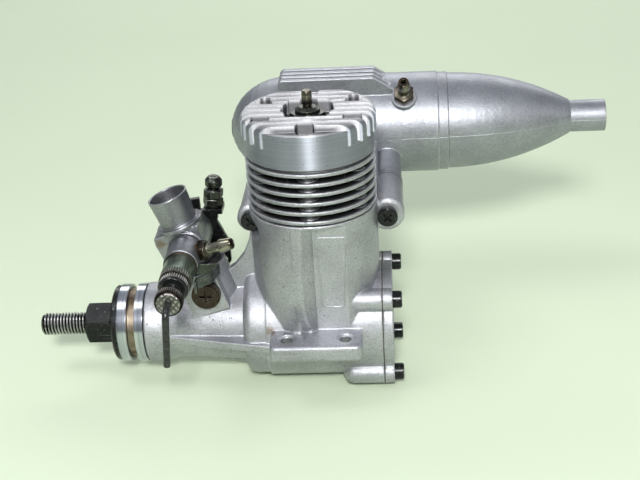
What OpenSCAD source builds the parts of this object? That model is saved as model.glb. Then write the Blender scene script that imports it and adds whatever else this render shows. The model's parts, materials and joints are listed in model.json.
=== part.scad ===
// Model glow engine: side exhaust two-stroke with front intake, carburettor and muffler.
// Frame: X along the crankshaft with the propeller at -X, Z up the cylinder, muffler at +Y.
// Origin: where the crank axis meets the cylinder axis, which is the centre of the beam mount holes.

/* [Cylinder and piston] */
// Cylinder bore
bore = 18; // [16:0.5:20]
// Piston stroke
stroke = 16; // [14:0.5:18]
// Distance between the two connecting rod eyes
rod_length = 29; // [28:0.5:31]
// Height from the wrist pin to the piston crown
crown_h = 8.5; // [7.5:0.25:9]
// Piston skirt below the wrist pin
skirt_h = 6; // [5:0.25:7]
// Cylinder liner wall
liner_wall = 1.5; // [1.2:0.1:1.6]
// Height of the deck above the crank axis
deck_z = 50.4; // [49.4:0.2:53]
// Radius of the cooling fins
fin_r = 17.2; // [16.8:0.1:18.5]
// Number of cooling fins
fin_count = 6; // [3:1:6]
// Distance between cooling fins
fin_pitch = 2.61; // [2.2:0.01:2.61]
// Thickness of one cooling fin
fin_t = 0.9; // [0.7:0.1:1.2]

/* [Cylinder head] */
// Radius of the machined side of the head
head_r = 17.25; // [17:0.05:18.2]
// Height of the head above the deck, to the top of its ribs
head_h = 11.8; // [11.4:0.2:14]
// Number of ribs across the head
rib_count = 9; // [5:2:9]
// Distance between head ribs
rib_pitch = 3.2; // [3.0:0.1:3.2]
// Thickness of a head rib
rib_t = 1.5; // [1.1:0.1:1.8]
// Radius of the ring of head screws
head_screw_ring_r = 13.6; // [13.2:0.1:13.9]
// Width across the flats of the glow plug hex
plug_af = 8; // [7:0.5:9]

/* [Crankcase] */
// Outer radius of the crank chamber wall
case_r = 15.5; // [15:0.1:17]
// Inner radius of the crank chamber
chamber_r = 13.2; // [13:0.1:13.6]
// Where the rear face of the crankcase stands
case_rear_x = 17.6; // [17.4:0.2:22]
// Where the front ring ends and the front housing starts
ring_front_x = -20.2; // [-22:0.2:-19]
// Front face of the nose collar
nose_x = -48.1; // [-56:0.1:-46]
// Radius of the nose collar
nose_r = 11.2; // [10.4:0.1:12]
// Thickness of the beam lugs
lug_t = 4.5; // [3:0.5:6]
// Length of the beam lugs along the crankshaft
lug_len = 24.4; // [22:0.2:27]
// Overall width over the beam lugs
lug_width = 48.6; // [46:0.2:54]
// Spacing of the beam mount holes along the crankshaft
beam_x = 15.6; // [14:0.2:17]
// Spacing of the beam mount holes across the engine
beam_y = 39.2; // [37:0.2:43]
// Diameter of the beam mount holes
beam_hole_d = 3.4; // [3:0.1:4]
// Half the side of the square of rear cover screws
cover_screw_s = 11.25; // [11:0.05:11.6]
// Thickness of the rear cover plate
cover_t = 2.5; // [2:0.1:4]

/* [Crankshaft and propeller drive] */
// Radius of the crankshaft main journal
journal_r = 5; // [4.5:0.1:5.4]
// Diameter of the threaded propeller end
prop_thread_d = 6.35; // [5:0.05:7]
// Length of the threaded end in front of the nut
thread_free = 13.4; // [8:0.2:20]
// Radius of the crank pin
crankpin_r = 2.5; // [2:0.1:2.8]
// Thickness of the crank web
web_t = 6; // [5:0.2:6.6]
// Radius of the drive hub
hub_r = 10.9; // [10:0.1:12]
// Length of the drive hub
hub_len = 7.5; // [6.5:0.1:10]
// Width across the flats of the propeller nut
nut_af = 11.1; // [10:0.1:13]

/* [Carburettor] */
// Forward lean of the carburettor
carb_lean = 18; // [12:1:22]
// Height of the throttle barrel axis above the crank axis
barrel_z = 24.8; // [24.4:0.2:28]
// Where the throttle barrel axis stands along the crankshaft
barrel_x = -34.8; // [-36:0.2:-33]
// Radius of the throttle barrel
barrel_r = 4.6; // [4.2:0.1:4.8]
// Radius of the air passage through the barrel
throat_r = 3.3; // [2.6:0.1:3.6]
// Length of the intake tube above its flange
intake_len = 8.2; // [5:0.2:14]
// Outer radius of the intake mouth
mouth_r = 5.5; // [5:0.1:6.5]
// Radius of the needle holder
holder_r = 4.15; // [3.6:0.05:4.4]
// Travel of the throttle lever from idle to open, in degrees
throttle_travel = 70; // [30:5:75]

/* [Muffler] */
// Radius of the muffler body
muffler_r = 14.75; // [13:0.05:16]
// Distance of the muffler axis from the cylinder axis
muffler_y = 45; // [43:0.5:50]
// Height of the muffler axis above the crank axis
muffler_z = 40.8; // [39:0.2:43]
// Front tip of the muffler
muffler_front_x = -26.5; // [-32:0.5:-22]
// Joint between the muffler front and the tail cone
joint_x = 37.8; // [35:0.2:46]
// Length of the tail cone
cone_len = 35.8; // [28:0.2:46]
// Outer radius of the outlet pipe
outlet_r = 4.65; // [4:0.05:6]
// Length of the outlet pipe
outlet_len = 10.4; // [7:0.2:16]
// Wall of the muffler castings
muffler_wall = 1.6; // [1.2:0.1:2.2]
// Distance of the exhaust flange face from the cylinder axis
flange_y = 19; // [18.4:0.2:21]
// Where the front muffler screw stands along the crankshaft
front_screw_x = -17.1; // [-18:0.1:-16.8]
// Where the rear muffler screw stands along the crankshaft
rear_screw_x = 19.8; // [19:0.1:21.4]

/* [Hidden] */
$fn = 64;
eps = 0.01;
run_gap = 0.03;          // radial clearance of a running shaft
slide_gap = 0.03;        // radial clearance of the piston
face_gap = 0.3;          // clearance between faces that turn past each other
m3_r = 1.5;
m26_r = 1.3;
m26_head_r = 2.3;
m26_head_h = 2.6;

// cylinder
throw = stroke / 2;
bore_r = bore / 2;
liner_r = bore_r + liner_wall;
liner_flange_r = liner_r + 1.2;
liner_flange_h = 1.4;
liner_bottom_z = 15.4;
rest_pin_z = rod_length - throw;             // wrist pin height at bottom dead centre
port_z = rest_pin_z + crown_h;               // bottom of the ports, level with the lowest crown
exhaust_port_h = 4.5;
exhaust_port_w = 13;
transfer_port_h = 3;
transfer_port_w = 7;
duct_z = port_z + exhaust_port_h / 2;        // height of the exhaust duct
jacket_r = fin_r;
jacket_top_z = deck_z - fin_t - (fin_count - 1) * fin_pitch - 0.55;
jacket_core_r = liner_flange_r + 0.9;
panel_y = 14.7;
wrist_pin_r = 2;
wrist_pin_len = bore - 1.8;

// head
spigot_h = 1.1;
spigot_r = 15.9;
head_top_z = deck_z + head_h;
ledge_z = head_top_z - 1.7;
groove_z = head_top_z - 3.6;
groove_rim_z = head_top_z - 5.7;
rib_r = head_r + 0.5;
plug_seat_z = groove_z - 0.1;
head_seat_z = head_top_z - 6.2;
plug_r = 3.175;
plug_washer_t = 0.5;
plug_hex_h = 2;
terminal_r = 1.35;
gasket_t = 0.2;
squish_z = deck_z - 4.1;
bowl_r = 6;
bowl_top_z = squish_z + 4;

// crankcase
case_front_x = -13.8;
chamber_front_x = -12.9;
ring_r = case_r - 0.6;
housing_rear_r = 11;
housing_front_r = 9.9;
collar_rear_x = nose_x + 8;
bush_r = journal_r + 1.5;
lug_corner_r = 1.6;
boss_r = 3.1;
stub_r = 4.4;
front_stub_r = 3.7;
flange_z = duct_z - 0.85;
cover_gasket_t = 0.35;

// crankshaft
hub_rear_x = nose_x - face_gap;
hub_front_x = hub_rear_x - hub_len;
hub_disc = 2.8;
washer_t = 1.5;
washer_front_x = hub_front_x - washer_t;
nut_len = 8.3;
pitch_r = prop_thread_d / 2 - 0.25;   // plain stand-in for the thread inside the nut
nut_front_x = washer_front_x - nut_len;
shaft_end_x = nut_front_x - thread_free;
web_rear_x = chamber_front_x + face_gap + web_t;
web_r = chamber_r - 0.6;
rod_t = 6;
pin_front_x = web_rear_x + 0.25;
gas_r = journal_r - 1.6;

// carburettor
flange_w = 5.6;
carb_flange_r = 6.4;
intake_base_r = 4.95;
intake_bore_r = 4.4;
mouth_w = flange_w + 1 + intake_len;
housing_r = 5.8;
body_near_y = -5.6;
body_far_y = 7.6;
neck_r = 5.2;
neck_w = -15.4;
boss_top_w = -7.4;
carb_boss_r = 7.5;
pad_y = -8.6;
clamp_w = -12.6;
clamp_x = 1.1;
clamp_r = 1.75;
holder_y = -8.9;
holder_end_y = -17.2;
sleeve_end_y = -29.4;
knob_end_y = -36;
needle_r = 1;
arm_y = body_far_y + 0.6;
arm_t = 1.4;
idle_lean = 6;
tab_top = 5.6;
nipple_lean = 18;
nipple_turn = 12;
nipple_y = -8.4;
nipple_r = 1.9;
wire_r = 0.9;
wire_bend = 2.2;
wire_drop = 13;
wire_swing = 4.5;

// muffler
cavity_r = muffler_r - muffler_wall;
band_r = muffler_r - 0.3;
cone_r = muffler_r - 0.65;
nose_len = 17;
cone_end_x = joint_x + cone_len;
outlet_end_x = cone_end_x + outlet_len;
outlet_bore_r = outlet_r - 1.1;
neck_top_y = muffler_y - muffler_r + 4;
gasket_f = 0.4;
front_neck_x = 17;
rib_top = muffler_r + 2.2;
rib_len0 = -11;
rib_len1 = 16.5;
rib_end = 22.5;
tap_angle = 47;
tap_x = 25.2;
bolt_r = 1.5;

// ---------- helpers ----------

// A round bar along X from x0 to x1
module bar_x(r, x0, x1) {
    translate([min(x0, x1), 0, 0]) rotate([0, 90, 0]) cylinder(r = r, h = abs(x1 - x0));
}

// A round bar along Y from y0 to y1
module bar_y(r, y0, y1) {
    translate([0, max(y0, y1), 0]) rotate([90, 0, 0]) cylinder(r = r, h = abs(y1 - y0));
}

// A profile of [x, radius] points turned about the X axis
module turned_x(points) {
    rotate([0, 90, 0]) rotate_extrude() polygon([for (p = points) [p[1], p[0]]]);
}

// A hexagonal bar along X
module hex_x(af, x0, x1) {
    translate([min(x0, x1), 0, 0]) rotate([0, 90, 0])
        cylinder(r = af / 2 / cos(30), h = abs(x1 - x0), $fn = 6);
}

// A box given by its corners
module block(a, b) {
    translate(a) cube(b - a);
}

// The carburettor's own frame: origin on the barrel axis, Z up the intake
module carb_frame() {
    translate([barrel_x, 0, barrel_z]) rotate([0, -carb_lean, 0]) children();
}

// Places at the head screws
module head_screw_places() {
    for (i = [0:5]) rotate([0, 0, 30 + 60 * i]) translate([head_screw_ring_r, 0, 0]) children();
}

// Places at the rear cover screws
module cover_screw_places() {
    for (y = [-1, 1], z = [-1, 1]) translate([0, y * cover_screw_s, z * cover_screw_s]) children();
}

// Places at the muffler screws
module muffler_screw_places() {
    for (x = [front_screw_x, rear_screw_x]) translate([x, 0, flange_z]) children();
}

// The two lugs of the muffler screws from y0 to y1, grown by g
module muffler_lugs(y0, y1, g = 0) {
    translate([front_screw_x, 0, flange_z]) bar_y(front_stub_r + g, y0, y1);
    translate([rear_screw_x, 0, flange_z]) bar_y(stub_r + g, y0, y1);
}

// ---------- crankcase ----------

// Crank chamber, front ring, front housing and nose collar, all turned about the crank axis
module case_turned() {
    turned_x([[nose_x, 0], [nose_x, nose_r - 0.3], [nose_x + 0.3, nose_r], [collar_rear_x - 3, nose_r],
        [collar_rear_x, housing_front_r], [ring_front_x, housing_rear_r], [ring_front_x, ring_r - 1.8],
        [ring_front_x + 0.5, ring_r - 0.8], [ring_front_x + 1.4, ring_r - 0.15],
        [ring_front_x + 2.4, ring_r], [case_front_x, ring_r], [case_front_x, case_r],
        [case_rear_x, case_r], [case_rear_x, 0]]);
}

// Jacket round the cylinder, with the flat panel and the transfer bulges
module jacket() {
    difference() {
        cylinder(r = jacket_r, h = jacket_top_z);
        block([-4, -jacket_r - 1, -1], [9.4, -panel_y, jacket_top_z - 0.8]);
    }
    // bulge of the side transfer passage, which narrows to a foot on the beam lug
    intersection() {
        rotate_extrude() polygon([[0, 0], [jacket_r - 2.2, 0], [jacket_r - 1.2, lug_t],
            [jacket_r + 0.1, lug_t + 4], [jacket_r + 0.9, lug_t + 9], [jacket_r + 0.9, 22],
            [jacket_r + 0.3, jacket_top_z], [0, jacket_top_z]]);
        linear_extrude(height = jacket_top_z)
            polygon([[-14.6, -5], [-14.6, -30], [-14, -30], [-4.4, -19.4], [-3.2, -18.5], [0.4, -panel_y],
                [0.6, -5]]);
        translate([0, -5, 0]) rotate([90, 0, 0]) linear_extrude(height = 20)
            polygon([[-13.9, jacket_top_z], [2, jacket_top_z], [2, lug_t - 1], [-6.4, lug_t - 1],
                [-8.4, 7.4], [-11, 11.8], [-12.9, 15.6], [-14, 20], [-14.3, 25]]);
    }
    // gusset between the jacket and the front ring
    translate([0, 1.2, 0]) rotate([90, 0, 0]) linear_extrude(height = 2.4)
        polygon([[-10, 33], [-jacket_r + 0.1, 29.5], [-jacket_r - 0.9, 25], [-jacket_r - 2.6, 21],
            [-jacket_r - 5.4, 17.6], [-jacket_r - 7, 16.6], [-jacket_r - 7, 8], [-10, 8]]);
}

// Cooling fins and the columns of the head screws
module fins() {
    translate([0, 0, jacket_top_z - 1]) cylinder(r = jacket_core_r, h = deck_z - jacket_top_z + 1);
    for (i = [0:fin_count - 1])
        translate([0, 0, deck_z - fin_t - i * fin_pitch]) cylinder(r = fin_r, h = fin_t);
    head_screw_places()
        translate([0, 0, jacket_top_z - 1]) cylinder(r = 2.5, h = deck_z - jacket_top_z + 1);
}

module beam_lugs() {
    r = lug_corner_r;
    for (s = [-1, 1]) scale([1, s, 1]) {
        block([-lug_len / 2, 8, 0], [lug_len / 2, lug_width / 2 - r, lug_t]);
        block([-lug_len / 2 + r, 8, 0], [lug_len / 2 - r, lug_width / 2, lug_t]);
        for (t = [-1, 1])
            translate([t * (lug_len / 2 - r), lug_width / 2 - r, 0]) cylinder(r = r, h = lug_t);
    }
}

// Gusset webs beside and below the front housing
module housing_webs() {
    half = [[collar_rear_x - 1, 9], [collar_rear_x - 1, 10.5], [-lug_len / 2 + 0.5, 17.4],
        [-lug_len / 2 + 0.5, 9]];
    translate([0, 0, -1.2]) linear_extrude(height = 2) {
        polygon(half);
        mirror([0, 1]) polygon(half);
    }
    translate([0, 1, 0]) rotate([90, 0, 0]) linear_extrude(height = 2)
        polygon([[collar_rear_x + 1, -9], [collar_rear_x + 1, -housing_front_r - 0.1],
            [ring_front_x + 1, -ring_r + 1], [ring_front_x + 1, -9]]);
}

// Exhaust stub with its two screw lugs
module exhaust_stub() {
    block([-13, 8, flange_z - stub_r], [13, flange_y, flange_z + stub_r]);
    muffler_lugs(0.4, flange_y);
    muffler_lugs(0, 1, -0.4);
    muffler_lugs(0.8, 4, 0.2);
    block([front_screw_x, flange_y - 4, flange_z - front_stub_r],
        [rear_screw_x, flange_y, flange_z + front_stub_r]);
    block([front_screw_x, 1.2, flange_z - 3], [rear_screw_x, 9, flange_z + 3]);
}

// Leaning boss that the carburettor neck plugs into, with its flat clamp pad
module carb_boss() {
    carb_frame() {
        translate([0, 0, neck_w - 3.6]) cylinder(r = carb_boss_r, h = boss_top_w - neck_w + 3.6);
        block([-5.3, pad_y, neck_w - 3.6], [5.3, 0, clamp_w + 3.7]);
    }
}

module crankcase() color("lightgray") difference() {
    union() {
        case_turned();
        jacket();
        fins();
        beam_lugs();
        housing_webs();
        exhaust_stub();
        carb_boss();
        cover_screw_places() {
            bar_x(boss_r, case_rear_x - 8, case_rear_x);
            translate([case_rear_x - 8, 0, 0]) sphere(r = boss_r);
        }
    }
    // crank chamber, bush bore and liner bore
    bar_x(chamber_r, chamber_front_x, case_rear_x + 1);
    bar_x(bush_r, nose_x - 1, 0);
    cylinder(r = liner_r, h = deck_z + 1);
    translate([0, 0, deck_z - liner_flange_h]) cylinder(r = liner_flange_r, h = liner_flange_h + 1);
    // transfer passages from the chamber to the liner ports
    for (a = [0, 180, 270]) rotate([0, 0, a + 90])
        block([-transfer_port_w / 2 - 0.5, -12.6, 4],
            [transfer_port_w / 2 + 0.5, 0, port_z + transfer_port_h]);
    // exhaust duct
    block([-exhaust_port_w / 2, 0, port_z], [exhaust_port_w / 2, flange_y + 1, port_z + exhaust_port_h]);
    // neck bore and the passage down to the shaft
    carb_frame() {
        translate([0, 0, neck_w]) cylinder(r = neck_r, h = 12);
        translate([0, 0, neck_w - 8]) cylinder(r = throat_r, h = 10);
        translate([clamp_x, 0, clamp_w]) bar_y(clamp_r, pad_y - 1, 0);
    }
    // tapped holes
    head_screw_places() translate([0, 0, deck_z - 8]) cylinder(r = m26_r, h = 9);
    cover_screw_places() bar_x(m26_r, case_rear_x - 7, case_rear_x + 1);
    muffler_screw_places() {
        bar_y(m3_r, -1, flange_y + 1);
        bar_y(3.2, -jacket_r, 0);
    }
    // beam mount holes with a shallow spot face
    for (x = [-1, 1], y = [-1, 1]) translate([x * beam_x / 2, y * beam_y / 2, 0]) {
        translate([0, 0, -1]) cylinder(d = beam_hole_d, h = lug_t + 2);
        translate([0, 0, lug_t - 0.3]) cylinder(d = beam_hole_d + 1.2, h = 1);
    }
}

// ---------- running gear ----------

module front_bush() color("darkgoldenrod") difference() {
    bar_x(bush_r, nose_x, chamber_front_x);
    bar_x(journal_r + run_gap, nose_x - 1, 0);
    carb_frame() translate([0, 0, neck_w - 8]) cylinder(r = throat_r, h = 10);
}

// Crankshaft with a counterweighted web, a hollow journal and a threaded nose
module crankshaft() color("silver") difference() {
    union() {
        turned_x([[shaft_end_x, 0], [shaft_end_x, prop_thread_d / 2 - 0.6],
            [shaft_end_x + 0.6, prop_thread_d / 2], [nut_front_x, prop_thread_d / 2],
            [nut_front_x, pitch_r], [washer_front_x, pitch_r],
            [washer_front_x, prop_thread_d / 2], [hub_front_x, prop_thread_d / 2],
            [hub_front_x, 4], [hub_rear_x, 4], [hub_rear_x, journal_r],
            [web_rear_x - web_t, journal_r], [web_rear_x - web_t, 0]]);
        bar_x(web_r, web_rear_x - web_t, web_rear_x);
    }
    // gas passage and the intake window of the rotary valve
    bar_x(gas_r, -34, web_rear_x + 1);
    translate([-31.5, -3.4, 1]) cube([9, 6.8, 6]);
    // lightened cheeks beside the crank pin
    for (s = [-1, 1]) block([web_rear_x - web_t + 2, min(s * 5.4, s * 15), -15],
        [web_rear_x + 1, max(s * 5.4, s * 15), -1.5]);
    // keyway
    block([hub_rear_x - 5.2, -1, 2.6], [hub_rear_x - 1.2, 1, 6]);
}

module crankpin() color("gainsboro") translate([0, 0, -throw])
    bar_x(crankpin_r, pin_front_x, rod_t / 2 + 0.2);

module cylinder_liner() color("slategray") difference() {
    union() {
        translate([0, 0, liner_bottom_z]) cylinder(r = liner_r, h = deck_z - liner_bottom_z);
        translate([0, 0, deck_z - liner_flange_h]) cylinder(r = liner_flange_r, h = liner_flange_h);
    }
    translate([0, 0, liner_bottom_z - 1]) cylinder(r = bore_r, h = deck_z);
    block([-exhaust_port_w / 2, 0, port_z], [exhaust_port_w / 2, 20, port_z + exhaust_port_h]);
    for (a = [0, 180, 270]) rotate([0, 0, a + 90])
        block([-transfer_port_w / 2, -20, port_z], [transfer_port_w / 2, 0, port_z + transfer_port_h]);
}

module piston() color("dimgray") difference() {
    union() {
        difference() {
            translate([0, 0, rest_pin_z - skirt_h]) cylinder(r = bore_r - slide_gap, h = skirt_h + crown_h);
            translate([0, 0, rest_pin_z - skirt_h - 1]) cylinder(r = bore_r - 1.5, h = skirt_h + crown_h - 0.8);
        }
        // bosses that hold the wrist pin
        for (s = [-1, 1]) translate([0, 0, rest_pin_z])
            bar_x(wrist_pin_r + 1.6, s * (rod_t / 2 + 0.3), s * (bore_r - 0.9));
    }
    translate([0, 0, rest_pin_z]) bar_x(wrist_pin_r, -bore, bore);
}

module wrist_pin() color("silver") translate([0, 0, rest_pin_z]) difference() {
    bar_x(wrist_pin_r, -wrist_pin_len / 2, wrist_pin_len / 2);
    bar_x(wrist_pin_r - 1, -bore, bore);
}

module connecting_rod() color("lightsteelblue") {
    big_r = crankpin_r + 1.7;
    small_r = wrist_pin_r + 1.7;
    difference() {
        union() {
            translate([0, 0, -throw]) bar_x(big_r, -rod_t / 2, rod_t / 2);
            translate([0, 0, rest_pin_z]) bar_x(small_r, -rod_t / 2, rod_t / 2);
            // tapered shank
            translate([1.6, 0, 0]) rotate([90, 0, -90]) linear_extrude(height = 3.2)
                polygon([[-big_r + 1.2, -throw], [big_r - 1.2, -throw], [small_r - 1.6, rest_pin_z],
                    [-small_r + 1.6, rest_pin_z]]);
        }
        translate([0, 0, -throw]) bar_x(crankpin_r + 0.8, -10, 10);
        translate([0, 0, rest_pin_z]) bar_x(wrist_pin_r + 0.8, -10, 10);
    }
}

module rod_bushes() color("peru") {
    translate([0, 0, -throw]) difference() {
        bar_x(crankpin_r + 0.8, -rod_t / 2, rod_t / 2);
        bar_x(crankpin_r, -10, 10);
    }
    translate([0, 0, rest_pin_z]) difference() {
        bar_x(wrist_pin_r + 0.8, -rod_t / 2, rod_t / 2);
        bar_x(wrist_pin_r + run_gap, -10, 10);
    }
}

// ---------- head ----------

module head_gasket() color("peru") translate([0, 0, deck_z]) difference() {
    cylinder(r = liner_flange_r, h = gasket_t);
    translate([0, 0, -1]) cylinder(r = bore_r, h = 2);
}

// Outer limit of the head ribs: straight side with a rounded shoulder
module rib_envelope() {
    shoulder = 2.2;
    rotate_extrude() polygon(concat([[0, deck_z + 2], [head_r, deck_z + 2], [head_r, groove_rim_z - 0.3],
        [rib_r, groove_rim_z]],
        [for (a = [0:15:90]) [rib_r - shoulder + shoulder * cos(a), head_top_z - shoulder + shoulder * sin(a)]],
        [[0, head_top_z]]));
}

module cylinder_head() color("silver") difference() {
    union() {
        translate([0, 0, deck_z]) cylinder(r = spigot_r, h = spigot_h + 1);
        // body with a floor that falls away towards the rim
        rotate_extrude() polygon([[0, deck_z + spigot_h], [head_r, deck_z + spigot_h],
            [head_r, groove_rim_z], [12, groove_z], [0, groove_z]]);
        // parallel ribs
        intersection() {
            rib_envelope();
            for (i = [0:rib_count - 1]) {
                y = (i - (rib_count - 1) / 2) * rib_pitch;
                block([-30, y - rib_t / 2, deck_z + 3], [30, y + rib_t / 2, head_top_z + 1]);
            }
        }
        // ledges in front of the first rib and behind the last
        intersection() {
            translate([0, 0, deck_z + 3]) cylinder(r = head_r, h = ledge_z - deck_z - 3);
            for (s = [-1, 1]) scale([1, s, 1])
                block([-30, (rib_count - 1) / 2 * rib_pitch, 0], [30, 30, head_top_z]);
        }
        // squish band that stands in the bore
        translate([0, 0, squish_z]) cylinder(r = bore_r - 0.1, h = deck_z - squish_z + 1);
    }
    // recess for the gasket
    difference() {
        translate([0, 0, deck_z - 1]) cylinder(r = liner_flange_r, h = 1 + gasket_t);
        translate([0, 0, deck_z - 2]) cylinder(r = bore_r - 0.1, h = 4);
    }
    // combustion bowl and plug hole
    translate([0, 0, squish_z - 1]) cylinder(r1 = bowl_r + 0.6, r2 = 3.6, h = bowl_top_z - squish_z + 1);
    cylinder(r = plug_r, h = head_top_z + 1);
    // pocket round the plug
    translate([0, 0, plug_seat_z]) cylinder(r = 7, h = 10);
    block([-5.4, -6.6, plug_seat_z], [5.4, 6.6, head_top_z + 1]);
    head_screw_places() {
        translate([0, 0, deck_z - 1]) cylinder(r = m26_r + 0.1, h = 20);
        translate([0, 0, head_seat_z]) cylinder(r = m26_head_r + 0.15, h = 20);
    }
}

// A cap screw of the 2.6 mm size, head up, with its seat at the origin
module cap_screw(len) {
    difference() {
        union() {
            cylinder(r = m26_head_r, h = m26_head_h - 0.25);
            cylinder(r = m26_head_r - 0.25, h = m26_head_h);
            translate([0, 0, -len]) cylinder(r = m26_r, h = len + 1);
        }
        translate([0, 0, m26_head_h - 1.4]) cylinder(r = 1.15, h = 2, $fn = 6);
    }
}

module head_screws() color("gray")
    head_screw_places() translate([0, 0, head_seat_z]) cap_screw(head_seat_z - deck_z + 7);

module glow_plug() color("dimgray") difference() {
    union() {
        translate([0, 0, bowl_top_z + 0.3])
            cylinder(r = plug_r, h = plug_seat_z + plug_washer_t + 0.5 - bowl_top_z);
        translate([0, 0, plug_seat_z + plug_washer_t])
            cylinder(r = plug_af / 2 / cos(30), h = plug_hex_h, $fn = 6);
        translate([0, 0, plug_seat_z + plug_washer_t + plug_hex_h]) cylinder(r = 3.3, h = 1);
        translate([0, 0, plug_seat_z + plug_washer_t + plug_hex_h + 1]) cylinder(r1 = 3.3, r2 = 2.1, h = 0.7);
    }
    translate([0, 0, plug_seat_z]) cylinder(r = terminal_r - 0.2, h = 10);
    translate([0, 0, bowl_top_z]) cylinder(r = 2, h = 3);
}

module plug_washer() color("peru") translate([0, 0, plug_seat_z]) difference() {
    cylinder(r = 4.7, h = plug_washer_t);
    translate([0, 0, -1]) cylinder(r = plug_r, h = 2);
}

module plug_terminal() color("gold") {
    top_z = head_top_z + 4.8;
    foot_z = plug_seat_z + plug_washer_t + plug_hex_h + 1.7;
    translate([0, 0, plug_seat_z]) cylinder(r = terminal_r - 0.2, h = foot_z - plug_seat_z + 1);
    translate([0, 0, foot_z]) cylinder(r = terminal_r, h = top_z - foot_z - 0.5);
    translate([0, 0, top_z - 0.5 - eps]) cylinder(r1 = terminal_r, r2 = terminal_r - 0.4, h = 0.5);
}

// ---------- rear cover ----------

// Outline of the cover: a disc with four corner lugs
module cover_plate(x0, x1) {
    bar_x(case_r, x0, x1);
    cover_screw_places() bar_x(boss_r, x0, x1);
}

module rear_cover_gasket() color("black") difference() {
    cover_plate(case_rear_x, case_rear_x + cover_gasket_t);
    bar_x(chamber_r - 0.1, case_rear_x - 1, case_rear_x + 1);
    cover_screw_places() bar_x(m26_r, case_rear_x - 1, case_rear_x + 2);
}

module rear_cover() color("lightgray") {
    x0 = case_rear_x + cover_gasket_t;
    difference() {
        union() {
            cover_plate(x0, x0 + cover_t);
            bar_x(chamber_r - 0.1, 4.4, x0 + 1);
        }
        bar_x(chamber_r - 1.8, 3, x0 - 0.4);
        bar_x(case_r - 6.4, x0 + cover_t - 0.4, x0 + cover_t + 3);
        bar_x(case_r - 12, x0 + cover_t - 0.8, x0 + cover_t + 3);
        cover_screw_places() bar_x(m26_r, 0, x0 + cover_t + 1);
    }
}

module rear_cover_screws() color("black")
    cover_screw_places() translate([case_rear_x + cover_gasket_t + cover_t, 0, 0])
        rotate([0, 90, 0]) cap_screw(cover_t + cover_gasket_t + 6);

// ---------- propeller drive ----------

module drive_hub() color("silver") difference() {
    turned_x([[hub_front_x, 0], [hub_front_x, hub_r - 0.3], [hub_front_x + 0.3, hub_r],
        [hub_front_x + hub_disc, hub_r], [hub_front_x + hub_disc + 0.2, hub_r - 1.3],
        [hub_rear_x - hub_disc + 0.2, hub_r - 1.3], [hub_rear_x - hub_disc + 0.4, hub_r + 0.1],
        [hub_rear_x, hub_r + 0.1], [hub_rear_x, 0]]);
    bar_x(4, hub_front_x - 1, hub_rear_x + 1);
    block([hub_rear_x - 5.2, -1, 0], [hub_rear_x - 1.2, 1, 5]);
}

module drive_key() color("gray") block([hub_rear_x - 5.2, -1, 2.6], [hub_rear_x - 1.2, 1, 5]);

module prop_washer() color("black") difference() {
    turned_x([[washer_front_x, 0], [washer_front_x, hub_r - 0.7], [washer_front_x + 0.4, hub_r - 0.3],
        [hub_front_x, hub_r - 0.3], [hub_front_x, 0]]);
    bar_x(prop_thread_d / 2, washer_front_x - 1, hub_front_x + 1);
}

module prop_nut() color("black") difference() {
    union() {
        bar_x(nut_af / 2 - 0.5, washer_front_x - 1, washer_front_x);
        intersection() {
            hex_x(nut_af, nut_front_x, washer_front_x - 0.8);
            turned_x([[nut_front_x, 0], [nut_front_x, nut_af / 2 - 0.1], [nut_front_x + 0.8, nut_af / 2 + 0.9],
                [washer_front_x - 1.4, nut_af / 2 + 0.9], [washer_front_x - 0.8, nut_af / 2],
                [washer_front_x - 0.8, 0]]);
        }
    }
    bar_x(pitch_r, nut_front_x - 1, washer_front_x + 1);
}

// ---------- carburettor ----------

module carburettor_body() color("lightgray") carb_frame() difference() {
    union() {
        bar_y(housing_r, body_near_y + 0.6, body_far_y);
        bar_y(housing_r - 0.6, body_near_y, body_far_y);
        // flat-sided block under the intake flange
        translate([0, 5.6, 0]) rotate([90, 0, 0]) linear_extrude(height = 10.6)
            polygon([[-7.1, flange_w], [-7.4, flange_w - 2], [-6.9, -1.8], [-5, -4.4], [2, -4.7],
                [5.3, 1.1], [5.7, flange_w]]);
        translate([0, 0, flange_w - 0.1]) cylinder(r = carb_flange_r, h = 1.1);
        // intake tube, which opens out a little towards the mouth
        translate([0, 0, flange_w]) cylinder(r1 = intake_base_r, r2 = mouth_r, h = mouth_w - flange_w);
        // neck with the groove that the clamp screw bites in
        translate([0, 0, neck_w]) cylinder(r = neck_r, h = -neck_w);
        // flared boss of the needle
        translate([0, body_near_y + 1, 0]) rotate([90, 0, 0]) cylinder(r1 = 2.9, r2 = 4.6, h = 3.3);
        bar_y(4.6, holder_y, body_near_y - 2.2);
        // pad under the fuel nipple
        intersection() {
            rotate([0, carb_lean, 0]) translate([0, nipple_y, 0]) rotate([0, -nipple_lean, -nipple_turn])
                bar_x(2.4, 0, 4.7);
            block([-10, holder_y, -10], [10, 0, 10]);
        }
    }
    translate([0, 0, neck_w - 1]) cylinder(r = throat_r, h = 30);
    translate([0, 0, flange_w - 1]) cylinder(r1 = throat_r, r2 = intake_bore_r, h = 3);
    translate([0, 0, flange_w + 2 - eps]) cylinder(r = intake_bore_r, h = mouth_w);
    bar_y(barrel_r + run_gap, body_near_y + 1.2, body_far_y + 1);
    bar_y(2.5, holder_y - 1, body_near_y);
    bar_y(needle_r + run_gap, holder_y - 1, 0);
    difference() {
        translate([0, 0, clamp_w - clamp_r]) cylinder(r = neck_r + 1, h = 2 * clamp_r);
        translate([0, 0, clamp_w - 3]) cylinder(r = neck_r - 0.5, h = 6);
    }
    rotate([0, carb_lean, 0]) translate([0, nipple_y, 0]) rotate([0, -nipple_lean, -nipple_turn])
        bar_x(0.8, 2.6, 8);
}

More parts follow.
